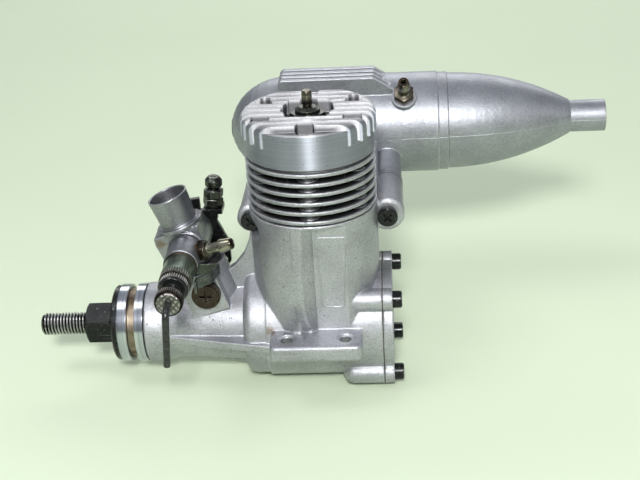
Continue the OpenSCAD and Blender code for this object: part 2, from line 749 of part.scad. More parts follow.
module carb_seal() color("black") carb_frame() difference() {
    translate([0, 0, boss_top_w]) cylinder(r = neck_r + 1.3, h = 1.8);
    translate([0, 0, boss_top_w - 1]) cylinder(r = neck_r, h = 6);
    bar_y(housing_r, -20, 20);
}

module carb_clamp_screw() color("saddlebrown") carb_frame() translate([clamp_x, 0, clamp_w]) difference() {
    union() {
        bar_y(clamp_r, -neck_r + 0.5, pad_y);
        bar_y(3.95, pad_y, pad_y - 1.7);
        bar_y(3.35, pad_y - 1.6, pad_y - 2.4);
    }
    for (a = [0, 90]) rotate([0, 20 + a, 0]) block([-1.7, pad_y - 3, -0.35], [1.7, pad_y - 1, 0.35]);
}

module throttle_barrel() color("silver") carb_frame() difference() {
    union() {
        bar_y(barrel_r, body_near_y + 1.5, body_far_y);
        bar_y(2, body_far_y - 1, arm_y + arm_t + 2.2);
    }
    translate([0, 0, -10]) cylinder(r = throat_r, h = 20);
    bar_y(needle_r + 0.4, body_near_y - 1, 0);
}

// Lever plate with a lower arm for the pushrod and an upper tab for the idle screw
module throttle_lever() color("black") translate([barrel_x, 0, barrel_z]) difference() {
    union() {
        translate([0, arm_y + arm_t, 0]) rotate([90, 0, 0]) linear_extrude(height = arm_t) difference() {
            union() {
                circle(r = 3.7);
                polygon([[-3.4, 1], [-1.2, 8.6], [2.5, 9.2], [2.6, 5.6], [7.6, 5.6], [7, 2.1], [9.9, -4.5], [9.9, -10.4], [8.9, -11.6],
                    [6.9, -11.6], [5.8, -9.6], [2, -3.4]]);
            }
            circle(r = 2);
            translate([8.1, -9.8]) circle(r = 0.9);
            translate([7.6, -6.6]) circle(r = 0.9);
        }
        block([3.2, arm_y, tab_top - arm_t], [8.6, arm_y + 6, tab_top]);
    }
    idle_place() translate([0, 0, -8]) cylinder(r = m3_r, h = 20);
}

// Axis of the idle screw, with its origin on top of the lever tab
module idle_place() {
    translate([5.8, arm_y + 3.2, tab_top]) rotate([0, idle_lean, 0]) children();
}

module lever_nut() color("gray") translate([barrel_x, 0, barrel_z]) difference() {
    translate([0, arm_y + arm_t + 1.8, 0]) rotate([90, 0, 0]) cylinder(r = 3.2, h = 1.8, $fn = 6);
    bar_y(2, 0, 20);
}

module idle_screw() color("dimgray") translate([barrel_x, 0, barrel_z]) idle_place() difference() {
    union() {
        translate([0, 0, -3.4]) cylinder(r = m3_r, h = 10);
        translate([0, 0, 5.6]) cylinder(r1 = 1.8, r2 = 2.4, h = 0.7);
        translate([0, 0, 6.3 - eps]) cylinder(r = 2.4, h = 1.5);
        translate([0, 0, 7.8 - 2 * eps]) cylinder(r1 = 2.4, r2 = 1.5, h = 1);
    }
    block([-4, -0.35, 7.8], [4, 0.35, 11]);
}

module idle_lock_nut() color("dimgray") translate([barrel_x, 0, barrel_z]) difference() {
    idle_place() {
        translate([0, 0, -0.4]) cylinder(r = 2.2, h = 5.6);
        translate([0, 0, 0.4]) cylinder(r = 2.8, h = 2, $fn = 6);
        translate([0, 0, 2.9]) rotate([0, 0, 20]) cylinder(r = 2.8, h = 2, $fn = 6);
    }
    idle_place() translate([0, 0, -1]) cylinder(r = m3_r, h = 8);
    block([-9, 0, 0], [19, 30, tab_top]);
}

module needle_holder() color("gray") carb_frame() difference() {
    union() {
        bar_y(2.5, body_near_y, holder_y - 1);
        bar_y(holder_r, holder_y - 0.5, holder_end_y + 1);
        bar_y(holder_r - 0.2, holder_end_y + 1.5, holder_end_y);
    }
    bar_y(needle_r + run_gap, 0, holder_y - 2);
    bar_y(2.2 + run_gap, holder_y - 1.5, holder_end_y - 1);
}

// Flat spring clamped behind the holder, bent forward to rest beside the ratchet ring
module ratchet_spring() color("darkgray") translate([barrel_x, 0, barrel_z]) {
    difference() {
        union() {
            bar_y(holder_r + 0.2, holder_y, holder_y - 0.5);
            block([0, holder_y - 0.5, -5.5], [9.3, holder_y, -2.4]);
        }
        bar_y(2.5, 0, -20);
    }
    translate([0, 0, -5.5]) linear_extrude(height = 3.1)
        polygon([[8.8, holder_y - 0.4], [9.3, holder_y - 0.4], [7.6, -14.6], [4.5, -17.8], [4.5, -20.2],
            [4, -20.2], [4, -17.6], [7.1, -14.4]]);
}

module needle_valve() color("black") carb_frame() {
    difference() {
        union() {
            bar_y(needle_r, -2, holder_y - 2.5);
            bar_y(2.2, holder_y - 1.5 - face_gap, holder_end_y - 1);
            bar_y(3.9, holder_end_y - 0.7, holder_end_y - 3);
            bar_y(3.6, holder_end_y - 2.1, sleeve_end_y);
            bar_y(2.8, sleeve_end_y + 0.1, sleeve_end_y - 1.9);
            bar_y(3.25, sleeve_end_y - 1.8, knob_end_y + 0.5);
            bar_y(2.7, knob_end_y + 0.6, knob_end_y);
        }
        bar_y(wire_r, knob_end_y + 4, knob_end_y - 1);
    }
}

// Extension wire: out of the knob, round a bend and down
module needle_wire() color("dimgray") translate([barrel_x, 0, barrel_z]) rotate([0, wire_swing, 0]) {
    bar_y(wire_r, knob_end_y + 4, knob_end_y - 2);
    translate([0, knob_end_y - 2, -wire_bend]) rotate([0, 90, 0]) rotate([0, 0, 180])
        rotate_extrude(angle = 90) translate([wire_bend, 0]) circle(r = wire_r);
    translate([0, knob_end_y - 2 - wire_bend, -wire_bend - wire_drop]) cylinder(r = wire_r, h = wire_drop);
}

module nipple_axis() {
    translate([barrel_x, nipple_y, barrel_z]) rotate([0, -nipple_lean, -nipple_turn]) children();
}

module nipple_washer() color("peru") nipple_axis() difference() {
    bar_x(2.6, 4.7, 5.2);
    bar_x(0.8, 0, 10);
}

module fuel_nipple() color("darkkhaki") nipple_axis() difference() {
    union() {
        hex_x(5.2, 5.2, 6.8);
        bar_x(2.3, 6.7, 7.3);
        bar_x(nipple_r, 6.9, 14.1);
        turned_x([[14, 0], [14, nipple_r], [14.6, nipple_r - 0.4], [14.6, 0]]);
    }
    bar_x(0.8, 0, 20);
}

// ---------- muffler ----------

// Moves its children to the muffler axis
module on_muffler() {
    translate([0, muffler_y, muffler_z]) children();
}

// Half-outline points of the rounded front end, for a body of radius r and a tip at x
function nose_points(r, tip, len) =
    [for (a = [0:9:90]) [tip + len * (1 - cos(a)), r * sin(a)]];

// Half-outline points of the tail cone
function cone_points(r0, r1, x0, len) =
    [for (i = [0:14]) [x0 + len * i / 14, r1 + (r0 - r1) * (1 - pow(i / 14, 2.1))]];

module muffler_neck() {
    z0 = flange_z - front_stub_r;
    z1 = flange_z + front_stub_r;
    hull() {
        block([-14, flange_y + gasket_f, z0], [front_neck_x, flange_y + 3.2, z1]);
        block([-15, neck_top_y + 4, muffler_z - 12], [front_neck_x, neck_top_y + 5, muffler_z + 4]);
    }
    block([front_screw_x, flange_y + gasket_f, z0], [rear_screw_x, flange_y + 3.5, z1]);
    muffler_lugs(flange_y + gasket_f, flange_y + 3.5);
    // screw bosses that rise to the body
    for (p = [[front_screw_x, front_stub_r - 0.3], [rear_screw_x, stub_r - 0.3]]) hull() {
        translate([p[0], 0, flange_z]) rotate([90, 0, 0]) translate([0, 0, -flange_y - 4])
            cylinder(r = p[1], h = 1, $fn = 40);
        translate([p[0], 0, muffler_z - p[1] - 1]) rotate([90, 0, 0])
            translate([0, 0, -muffler_y + cavity_r - 3.5]) cylinder(r = p[1], h = 1, $fn = 40);
        translate([p[0], 0, flange_z + 1.4]) rotate([90, 0, 0])
            translate([0, 0, -neck_top_y - 2.5]) cylinder(r = p[1], h = 1, $fn = 40);
    }
}

module muffler_front() color("lightgray") {
    difference() {
        union() {
            on_muffler() {
                turned_x(concat(nose_points(muffler_r, muffler_front_x, nose_len),
                    [[joint_x - 2.8, muffler_r], [joint_x - 2.8, band_r], [joint_x, band_r], [joint_x, 0]]));
                // ribs on the back of the body
                rib_block();
                // boss of the pressure tap
                translate([tap_x, 0, 0]) rotate([-tap_angle, 0, 0])
                    rotate([90, 0, 0]) cylinder(r = 3.6, h = muffler_r + 1.4);
            }
            muffler_neck();
        }
        // hollow, the exhaust passage and the holes
        on_muffler() {
            turned_x(concat(nose_points(cavity_r, muffler_front_x + 4.5, nose_len - 2),
                [[joint_x + 1, cavity_r], [joint_x + 1, 0]]));
            translate([tap_x, 0, 0]) rotate([-tap_angle, 0, 0])
                rotate([90, 0, 0]) cylinder(r = 1.7, h = muffler_r + 4);
            bar_x(bolt_r, muffler_front_x - 1, joint_x);
            bar_x(3.2, muffler_front_x - 1, muffler_front_x + 2.6);
        }
        block([-exhaust_port_w / 2, flange_y - 1, port_z],
            [exhaust_port_w / 2, muffler_y - 6, port_z + exhaust_port_h]);
        muffler_screw_places() bar_y(m3_r, flange_y - 1, flange_y + 9);
    }
}

// Four parallel ribs on top of the muffler body, sloping away at the rear
module rib_block() {
    for (i = [0:3]) translate([0, -8.2 + i * 3.3, 0]) rotate([90, 0, 0])
        translate([0, 0, -0.8]) linear_extrude(height = 1.6)
            polygon([[rib_len0, 8], [rib_len0, rib_top - 0.8], [rib_len0 + 1, rib_top],
                [rib_len1, rib_top], [rib_end, muffler_r - 1.6], [rib_end, 8]]);
    for (i = [0:2]) translate([0, -6.55 + i * 3.3, 0]) rotate([90, 0, 0])
        translate([0, 0, -0.9]) linear_extrude(height = 1.8)
            polygon([[rib_len0 + 0.4, 8], [rib_len0 + 0.4, rib_top - 1.5], [rib_len1, rib_top - 1.5],
                [rib_end - 0.8, muffler_r - 2], [rib_end - 0.8, 8]]);
}

module muffler_cone() color("lightgray") on_muffler() {
    difference() {
        union() {
            turned_x(concat([[joint_x, 0]], cone_points(cone_r, outlet_r + 0.35, joint_x, cone_len),
                [[cone_end_x, outlet_r], [outlet_end_x, outlet_r], [outlet_end_x, 0]]));
            bar_x(cavity_r, joint_x - 4, joint_x + 1);
        }
        turned_x(concat([[joint_x - 5, 0], [joint_x - 5, cavity_r - 1.4]],
            cone_points(cavity_r - 1.4, outlet_bore_r, joint_x, cone_len - 2),
            [[outlet_end_x + 1, outlet_bore_r], [outlet_end_x + 1, 0]]));
    }
    // bridge that the through bolt screws into
    difference() {
        union() {
            block([joint_x + 2, -cavity_r + 1.2, -1.5], [joint_x + 9, cavity_r - 1.2, 1.5]);
            bar_x(3.2, joint_x + 2, joint_x + 9);
        }
        bar_x(bolt_r, joint_x - 1, joint_x + 20);
    }
}

module muffler_gasket() color("dimgray") difference() {
    union() {
        block([front_screw_x, flange_y, flange_z - front_stub_r],
            [rear_screw_x, flange_y + gasket_f, flange_z + front_stub_r]);
        muffler_lugs(flange_y, flange_y + gasket_f);
    }
    block([-exhaust_port_w / 2, flange_y - 1, port_z],
        [exhaust_port_w / 2, flange_y + 2, port_z + exhaust_port_h]);
    muffler_screw_places() bar_y(m3_r, flange_y - 1, flange_y + 2);
}

module muffler_screws() color("black") muffler_screw_places() difference() {
    union() {
        bar_y(m3_r, 0, flange_y + 9);
        bar_y(2.75, 0, -1.4);
        bar_y(2.3, -1.3, -2);
    }
    for (a = [0, 90]) rotate([0, 45 + a, 0]) block([-1.5, -3, -0.3], [1.5, -1, 0.3]);
}

module pressure_nipple() color("saddlebrown") on_muffler() translate([tap_x, 0, 0])
    rotate([-tap_angle, 0, 0]) rotate([90, 0, 0]) translate([0, 0, muffler_r + 1.4]) difference() {
        union() {
            translate([0, 0, -3]) cylinder(r = 1.7, h = 4);
            cylinder(r = 3.1, h = 2.6, $fn = 6);
            translate([0, 0, 2.5]) cylinder(r = nipple_r, h = 5.5);
            translate([0, 0, 7.9]) cylinder(r1 = nipple_r, r2 = nipple_r - 0.4, h = 0.6);
        }
        translate([0, 0, -4]) cylinder(r = 0.9, h = 20);
    }

module through_bolt() color("gray") on_muffler() difference() {
    union() {
        bar_x(bolt_r, muffler_front_x + 2.2, joint_x + 9);
        bar_x(2.75, muffler_front_x + 0.2, muffler_front_x + 2.2);
    }
    hex_x(2.5, muffler_front_x - 1, muffler_front_x + 1.4);
}

module through_bolt_washer() color("peru") on_muffler() difference() {
    bar_x(3, muffler_front_x + 2.2, muffler_front_x + 2.6);
    bar_x(bolt_r, muffler_front_x, muffler_front_x + 5);
}

crankcase();
front_bush();
crankshaft();
crankpin();
cylinder_liner();
piston();
wrist_pin();
connecting_rod();
rod_bushes();
head_gasket();
cylinder_head();
head_screws();
glow_plug();
plug_washer();
plug_terminal();
rear_cover();
rear_cover_gasket();
rear_cover_screws();
drive_hub();
drive_key();
prop_washer();
prop_nut();
carburettor_body();
carb_seal();
carb_clamp_screw();
throttle_barrel();
throttle_lever();
lever_nut();
idle_screw();
idle_lock_nut();
needle_holder();
ratchet_spring();
needle_valve();
needle_wire();
fuel_nipple();
nipple_washer();
muffler_front();
muffler_cone();
muffler_gasket();
muffler_screws();
pressure_nipple();
through_bolt();
through_bolt_washer();
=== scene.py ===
import json
import math

import bmesh
import bpy
from mathutils import Matrix, Vector


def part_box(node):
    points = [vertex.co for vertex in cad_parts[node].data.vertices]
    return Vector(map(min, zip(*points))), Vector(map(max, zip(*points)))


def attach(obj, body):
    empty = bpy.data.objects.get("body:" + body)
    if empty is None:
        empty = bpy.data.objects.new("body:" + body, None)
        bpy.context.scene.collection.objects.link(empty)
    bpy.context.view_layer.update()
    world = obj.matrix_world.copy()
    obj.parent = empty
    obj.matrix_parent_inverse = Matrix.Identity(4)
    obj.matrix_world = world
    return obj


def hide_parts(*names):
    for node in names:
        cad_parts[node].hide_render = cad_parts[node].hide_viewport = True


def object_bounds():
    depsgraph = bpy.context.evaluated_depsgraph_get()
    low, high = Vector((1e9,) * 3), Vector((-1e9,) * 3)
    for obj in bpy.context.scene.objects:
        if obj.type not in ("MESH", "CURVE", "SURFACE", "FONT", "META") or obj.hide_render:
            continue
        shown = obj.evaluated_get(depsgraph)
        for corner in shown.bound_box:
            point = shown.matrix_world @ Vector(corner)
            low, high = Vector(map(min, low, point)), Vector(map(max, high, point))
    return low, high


# Lengths are in metres, and texture scales in cells per metre. X runs to the rear along the
# crank, Z up the cylinder, and the muffler is on +Y.
MM = 0.001

# crankcase: heights of the lugs' upper face, of the plain jacket's top and of the deck under the
# head, and the radius of the fins
LUG_TOP = 0.0045
JACKET_TOP = 0.0359
DECK = 0.0504
FIN_RIM = 0.0172

# needle and holder: places on their axis, as distances from the outer end of the knob
KNOB_TEETH = (0.0005, 0.0028)
KNOB_BACK = 0.0034
NEEDLE_RING = (0.0077, 0.0099)
HOLDER_END = 0.0105
HOLDER_RING = 0.0127
COLLAR_END = 0.0206
# their radii, and the teeth of their knurled rings
KNOB_R = 0.00365
NEEDLE_RING_R = 0.004
TOOTH_DEPTH = 0.00028
TEETH = 40

THREAD_PITCH = 0.000907

ALONG_X = (0, math.pi / 2, 0)
ALONG_Y = (math.pi / 2, 0, 0)

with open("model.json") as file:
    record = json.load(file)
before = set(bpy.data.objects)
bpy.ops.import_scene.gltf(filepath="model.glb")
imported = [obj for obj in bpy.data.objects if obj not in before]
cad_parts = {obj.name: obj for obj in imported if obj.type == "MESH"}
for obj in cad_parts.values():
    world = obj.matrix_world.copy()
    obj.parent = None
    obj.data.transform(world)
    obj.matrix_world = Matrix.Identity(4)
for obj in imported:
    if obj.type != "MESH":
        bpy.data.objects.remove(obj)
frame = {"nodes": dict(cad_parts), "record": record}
nodes = frame["nodes"]
cad_low, cad_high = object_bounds()
mounts = {m["name"]: m for m in frame["record"]["mounts"]}


def middle(node):
    low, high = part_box(node)
    return (low + high) / 2


needle_middle = middle("needle_valve")


# ---------- camera, floor and light ----------

def engine_camera():
    """A long-lens view of the needle side, from a little above."""
    yaw, pitch, roll = -0.074, 0.447, -0.061
    ahead = Vector((math.sin(yaw) * math.cos(pitch), math.cos(yaw) * math.cos(pitch),
                    -math.sin(pitch)))
    level = Vector((math.cos(yaw), -math.sin(yaw), 0))
    upright = level.cross(ahead)
    right = level * math.cos(roll) + upright * math.sin(roll)
    up = upright * math.cos(roll) - level * math.sin(roll)
    data = bpy.data.cameras.new("camera")
    data.sensor_width = 36
    data.lens = 68.3
    data.clip_start = 0.01
    camera = bpy.data.objects.new("camera", data)
    bpy.context.collection.objects.link(camera)
    turn = Matrix((right, up, -ahead)).transposed().to_4x4()
    camera.matrix_world = Matrix.Translation((0.023257, -0.297451, 0.167053)) @ turn
    bpy.context.scene.camera = camera


def softbox(name, place, target, size, power, colour=(1, 1, 1), beam=180):
    """An area lamp aimed at a target. A beam under 180 degrees is a grid on its front."""
    data = bpy.data.lights.new(name, "AREA")
    data.spread = math.radians(beam)
    data.shape = "RECTANGLE"
    data.size, data.size_y = size
    data.energy = power
    data.color = colour
    lamp = bpy.data.objects.new(name, data)
    bpy.context.collection.objects.link(lamp)
    lamp.location = place
    lamp.rotation_mode = "QUATERNION"
    lamp.rotation_quaternion = (Vector(target) - Vector(place)).to_track_quat("-Z", "Y")


def fill(tree, node, inputs):
    """Gives a node its inputs: a socket is linked, any other value is set."""
    for key, value in dict(inputs).items():
        if isinstance(value, bpy.types.NodeSocket):
            tree.links.new(value, node.inputs[key])
        else:
            node.inputs[key].default_value = value


def add(tree, kind, inputs=(), **settings):
    """A new node with its settings and inputs."""
    node = tree.nodes.new(kind)
    for key, value in settings.items():
        setattr(node, key, value)
    fill(tree, node, inputs)
    return node


def maths(tree, operation, a, b=0.0, clamp=False):
    return add(tree, "ShaderNodeMath", {0: a, 1: b}, operation=operation,
               use_clamp=clamp).outputs[0]


def times(tree, a, b, clamp=False):
    return maths(tree, "MULTIPLY", a, b, clamp)


def raised(tree, value, mask, amount):
    """A value plus an amount of a mask."""
    return maths(tree, "ADD", value, times(tree, mask, amount))


def vector_maths(tree, operation, a, b=None):
    """A vector operation's result: a plain value for a product, a length or a distance."""
    inputs = {0: a} if b is None else {0: a, 1: b}
    node = add(tree, "ShaderNodeVectorMath", inputs, operation=operation)
    plain = operation in ("DOT_PRODUCT", "LENGTH", "DISTANCE")
    return node.outputs["Value" if plain else "Vector"]


def between(tree, value, low, high, out_low=0.0, out_high=1.0):
    """A smooth step of a value."""
    return add(tree, "ShaderNodeMapRange", {"Value": value, "From Min": low, "From Max": high,
               "To Min": out_low, "To Max": out_high}, interpolation_type="SMOOTHSTEP").outputs[0]


def band(tree, value, low, high):
    """One between low and high, nothing outside them."""
    soft = 0.00008
    return times(tree, between(tree, value, low - soft, low + soft),
                 between(tree, value, high + soft, high - soft))


def blend_colour(tree, factor, a, b):
    return add(tree, "ShaderNodeMix", {0: factor, 6: a, 7: b}, data_type="RGBA").outputs[2]


def veiled(tree, under, mask, strength, over):
    """A colour with another laid over it where a mask says, at a given strength."""
    return blend_colour(tree, times(tree, mask, strength), under, over)


def rgb(r, g, b):
    return (r, g, b, 1)


def object_place(tree):
    return add(tree, "ShaderNodeTexCoord").outputs["Object"]


def split(tree, vector):
    return add(tree, "ShaderNodeSeparateXYZ", {0: vector}).outputs


def joined(tree, x, y, z=0.0):
    return add(tree, "ShaderNodeCombineXYZ", {0: x, 1: y, 2: z}).outputs[0]


def noise(tree, place, scale, detail, **more):
    """A noise texture's value. more holds its other inputs."""
    inputs = {"Vector": place, "Scale": scale, "Detail": detail, **more}
    return add(tree, "ShaderNodeTexNoise", inputs).outputs["Fac"]


def relief(tree, height, normal, distance):
    return add(tree, "ShaderNodeBump", {"Height": height, "Normal": normal, "Distance": distance,
                                        "Strength": 1.0}).outputs[0]


def about(tree, centre, axis):
    """Distance along an axis from its centre, and distance away from it."""
    away = vector_maths(tree, "SUBTRACT", object_place(tree), centre)
    along = vector_maths(tree, "DOT_PRODUCT", away, axis)
    on_axis = add(tree, "ShaderNodeVectorMath", {0: Vector(axis), "Scale": along},
                  operation="SCALE").outputs[0]
    off_axis = vector_maths(tree, "SUBTRACT", away, on_axis)
    return along, vector_maths(tree, "LENGTH", off_axis)


def studio():
    world = bpy.data.worlds.new("studio")
    bpy.context.scene.world = world
    world.use_nodes = True
    tree = world.node_tree
    tree.nodes.clear()
    direction = add(tree, "ShaderNodeTexCoord").outputs["Generated"]
    height = split(tree, direction)["Z"]
    sky = blend_colour(tree, between(tree, height, -0.2, 0.9), rgb(0.42, 0.45, 0.45),
                       rgb(0.78, 0.82, 0.90))
    direct = add(tree, "ShaderNodeLightPath").outputs["Is Camera Ray"]
    seen = blend_colour(tree, direct, sky, rgb(0.72, 0.80, 0.64))
    level = add(tree, "ShaderNodeMapRange", {"Value": direct, "To Min": 0.5, "To Max": 1.0})
    light = add(tree, "ShaderNodeBackground", {"Color": seen, "Strength": level.outputs[0]})
    add(tree, "ShaderNodeOutputWorld", {0: light.outputs[0]})
    bpy.context.scene.view_settings.view_transform = "Standard"


def new_finish(name, metallic=0.0):
    material = bpy.data.materials.new(name)
    material.use_nodes = True
    tree = material.node_tree
    shader = tree.nodes["Principled BSDF"]
    fill(tree, shader, {"Metallic": metallic})
    return material, tree, shader


def pale_floor():
    bm = bmesh.new()
    bmesh.ops.create_grid(bm, x_segments=2, y_segments=2, size=3)
    bmesh.ops.translate(bm, verts=bm.verts, vec=(0, 0, cad_low.z - 0.0003))
    mesh = bpy.data.meshes.new("floor")
    bm.to_mesh(mesh)
    bm.free()
    floor = bpy.data.objects.new("floor", mesh)
    bpy.context.collection.objects.link(floor)
    card, tree, shader = new_finish("pale_green_card")
    cloud = noise(tree, object_place(tree), 9, 3)
    paint = blend_colour(tree, cloud, rgb(0.64, 0.73, 0.545), rgb(0.675, 0.765, 0.58))
    fill(tree, shader, {"Base Color": paint, "Roughness": 0.9, "Specular IOR Level": 0.1})
    mesh.materials.append(card)


# ---------- shader groups that the finishes share ----------

def effect(name, takes, gives):
    """An empty shader group with named sockets. takes holds (name, kind, default)."""
    group = bpy.data.node_groups.new(name, "ShaderNodeTree")
    kinds = {"value": "NodeSocketFloat", "vector": "NodeSocketVector"}
    for label, kind, default in takes:
        socket = group.interface.new_socket(label, in_out="INPUT", socket_type=kinds[kind])
        socket.default_value = default
    for label, kind in gives:
        group.interface.new_socket(label, in_out="OUTPUT", socket_type=kinds[kind])
    return group, group.nodes.new("NodeGroupInput").outputs, group.nodes.new("NodeGroupOutput")


def make_worn_edge():
    """Corners rubbed round and bright, found from a rounded normal."""
    group, taken, given = effect("worn_edge", [("Radius", "value", 0.0003)],
                                 [("Mask", "value"), ("Normal", "vector")])
    soft = add(group, "ShaderNodeBevel", {"Radius": taken["Radius"]}, samples=6).outputs[0]
    flat = add(group, "ShaderNodeNewGeometry").outputs["Normal"]
    same = vector_maths(group, "DOT_PRODUCT", soft, flat)
    turned_away = between(group, maths(group, "SUBTRACT", 1.0, same), 0.02, 0.22)
    patchy = noise(group, object_place(group), 900, 3)
    mask = times(group, turned_away, between(group, patchy, 0.3, 0.6, 0.35, 1.0), clamp=True)
    fill(group, given, {"Mask": mask, "Normal": soft})
    return group


def make_cast_grain():
    """The blasted skin of a casting: fine grain, dark pits and a slow change of tone."""
    group, taken, given = effect("cast_grain", [("Grain", "value", 1900.0), ("Pits", "value", 0.5)],
                                 [("Tone", "value"), ("Pit", "value"), ("Height", "value")])
    place = object_place(group)
    fine = noise(group, place, taken["Grain"], 4, Roughness=0.65)
    slow = noise(group, place, 95, 3)
    cells = add(group, "ShaderNodeTexVoronoi", {"Vector": place, "Scale": 950}).outputs["Distance"]
    scatter = noise(group, place, 420, 2)
    pit = times(group, between(group, cells, 0.28, 0.08), between(group, scatter, 0.52, 0.62))
    pit = times(group, pit, taken["Pits"], clamp=True)
    tone = raised(group, times(group, fine, 0.6), slow, 0.4)
    fill(group, given, {"Tone": between(group, tone, 0.36, 0.64), "Pit": pit,
                        "Height": maths(group, "SUBTRACT", fine, pit)})
    return group


def make_tool_marks():
    """Rings left by a lathe tool round the Z axis of the place it is given."""
    group, taken, given = effect("tool_marks", [("Place", "vector", (0, 0, 0)),
                                                ("Fine", "value", 9000.0)],
                                 [("Mask", "value"), ("Height", "value")])
    x, y, z = split(group, taken["Place"])
    radius = vector_maths(group, "LENGTH", joined(group, x, y))
    line = joined(group, radius, z)
    rings = noise(group, line, taken["Fine"], 2)
    broad = noise(group, line, 2600, 3)
    fill(group, given, {"Mask": between(group, broad, 0.3, 0.7),
                        "Height": raised(group, times(group, rings, 0.6), broad, 0.4)})
    return group


def make_stain():
    """A ragged patch round a centre."""
    group, taken, given = effect("stain", [("Centre", "vector", (0, 0, 0)),
                                           ("Size", "value", 0.004)], [("Mask", "value")])
    place = object_place(group)
    away = vector_maths(group, "DISTANCE", place, taken["Centre"])
    share = maths(group, "DIVIDE", away, taken["Size"])
    ragged = maths(group, "SUBTRACT", noise(group, place, 520, 4), 0.5)
    edge = raised(group, share, ragged, 1.6)
    fill(group, given, {"Mask": between(group, edge, 1.0, 0.25)})
    return group


def make_handling():
    """Thin scratches and oily smears."""
    group, taken, given = effect("handling", [("Scratches", "value", 0.5)],
                                 [("Scratch", "value"), ("Smear", "value")])
    place = object_place(group)
    # two families of scratches: how noise is turned, then how it is stretched
    lines = None
    for turn, stretch in (((0.3, 0.9, 0.2), (60, 1500, 1500)), ((1.1, 0.2, 0.8), (1500, 70, 1500))):
        moved = add(group, "ShaderNodeMapping", {"Vector": place, "Rotation": turn,
                                                 "Scale": stretch}).outputs[0]
        one = between(group, noise(group, moved, 1.0, 1), 0.69, 0.74)
        lines = one if lines is None else maths(group, "MAXIMUM", lines, one)
    smear = noise(group, place, 160, 4, Distortion=0.6)
    fill(group, given, {"Scratch": times(group, lines, taken["Scratches"], clamp=True),
                        "Smear": between(group, smear, 0.35, 0.65)})
    return group


worn_edge = make_worn_edge()
cast_grain = make_cast_grain()
tool_marks = make_tool_marks()
stain = make_stain()
handling = make_handling()


def use(tree, group, **inputs):
    """A shared group's outputs, with its inputs set."""
    node = add(tree, "ShaderNodeGroup", node_tree=group)
    fill(tree, node, inputs)
    return node.outputs


# ---------- finishes ----------

def cast_finish(name, dark, light, rim, grain, depth, rough, pits, edge, metallic, stains=(),
                shaded_fin_gaps=False, mould_line=None):
    """A blasted or tumbled casting with rubbed corners and old brown marks, and if asked, painted
    shade between its fins.
    """
    material, tree, shader = new_finish(name, metallic)
    skin = use(tree, cast_grain, Grain=grain, Pits=pits)
    worn = use(tree, worn_edge, Radius=edge)
    handled = use(tree, handling, Scratches=0.12)
    colour = blend_colour(tree, skin["Tone"], dark, light)
    colour = blend_colour(tree, skin["Pit"], colour, rgb(0.09, 0.09, 0.09))
    height = skin["Height"]
    if shaded_fin_gaps:
        # painted shade between the cooling fins, darkest deep in from their rims
        up, radius = about(tree, (0, 0, 0), (0, 0, 1))
        fin_gap_shade = times(tree, between(tree, radius, FIN_RIM - 0.0002, FIN_RIM - 0.0013),
                    band(tree, up, JACKET_TOP, DECK))
        colour = veiled(tree, colour, fin_gap_shade, 0.9, rgb(0.03, 0.03, 0.032))
    if mould_line:
        # a fine raised line where the mould's halves met, at one height and behind one x
        level, start = mould_line
        place = split(tree, object_place(tree))
        line = times(tree, between(tree, place["X"], start, start + 0.0008),
                     band(tree, place["Z"], level - 0.00005, level + 0.00005))
        colour = veiled(tree, colour, line, 0.4, rim)
        height = raised(tree, height, line, 1.5)
    for centre, size in stains:
        mask = use(tree, stain, Centre=centre, Size=size)["Mask"]
        colour = veiled(tree, colour, mask, 0.75, rgb(0.17, 0.105, 0.06))
    colour = veiled(tree, colour, worn["Mask"], 0.7, rim)
    colour = blend_colour(tree, handled["Scratch"], colour, rim)
    rubbed = raised(tree, rough, worn["Mask"], -0.12)
    fill(tree, shader, {"Base Color": colour,
                        "Roughness": raised(tree, rubbed, handled["Smear"], 0.08),
                        "Normal": relief(tree, height, worn["Normal"], depth)})
    return material


def turned_finish(name, dark, light, rough, centre=(0, 0, 0), turn=(0, 0, 0), rim=None,
                  scratches=0.4, grime=None):
    """Bright metal off a lathe. centre and turn bring the work's own axis onto Z."""
    material, tree, shader = new_finish(name, 1.0)
    moved = vector_maths(tree, "SUBTRACT", object_place(tree), centre)
    moved = add(tree, "ShaderNodeVectorRotate", {"Vector": moved, "Rotation": turn},
                rotation_type="EULER_XYZ").outputs[0]
    rings = use(tree, tool_marks, Place=moved, Fine=9000.0)
    worn = use(tree, worn_edge, Radius=0.0002)
    handled = use(tree, handling, Scratches=scratches)
    rim = rim or light
    colour = blend_colour(tree, rings["Mask"], dark, light)
    if grime:
        colour = veiled(tree, colour, handled["Smear"], 0.65, grime)
    colour = veiled(tree, colour, worn["Mask"], 0.8, rim)
    colour = blend_colour(tree, handled["Scratch"], colour, rim)
    fill(tree, shader, {"Base Color": colour,
                        "Roughness": raised(tree, rough, handled["Smear"], 0.1),
                        "Normal": relief(tree, rings["Height"], worn["Normal"], 0.000012)})
    return material


def dark_finish(name, base, sheen, rim, rough, metallic):
    """Oxide, plastic or rubber: a dark skin with rubbed corners."""
    material, tree, shader = new_finish(name, metallic)
    skin = use(tree, cast_grain, Grain=1400.0, Pits=0.2)
    worn = use(tree, worn_edge, Radius=0.0002)
    handled = use(tree, handling, Scratches=0.45)
    colour = blend_colour(tree, skin["Tone"], base, sheen)
    colour = veiled(tree, colour, worn["Mask"], 0.6, rim)
    colour = blend_colour(tree, handled["Scratch"], colour, rim)
    fill(tree, shader, {"Base Color": colour,
                        "Roughness": raised(tree, rough, handled["Smear"], 0.12),
                        "Normal": relief(tree, skin["Height"], worn["Normal"], 0.00002)})
    return material


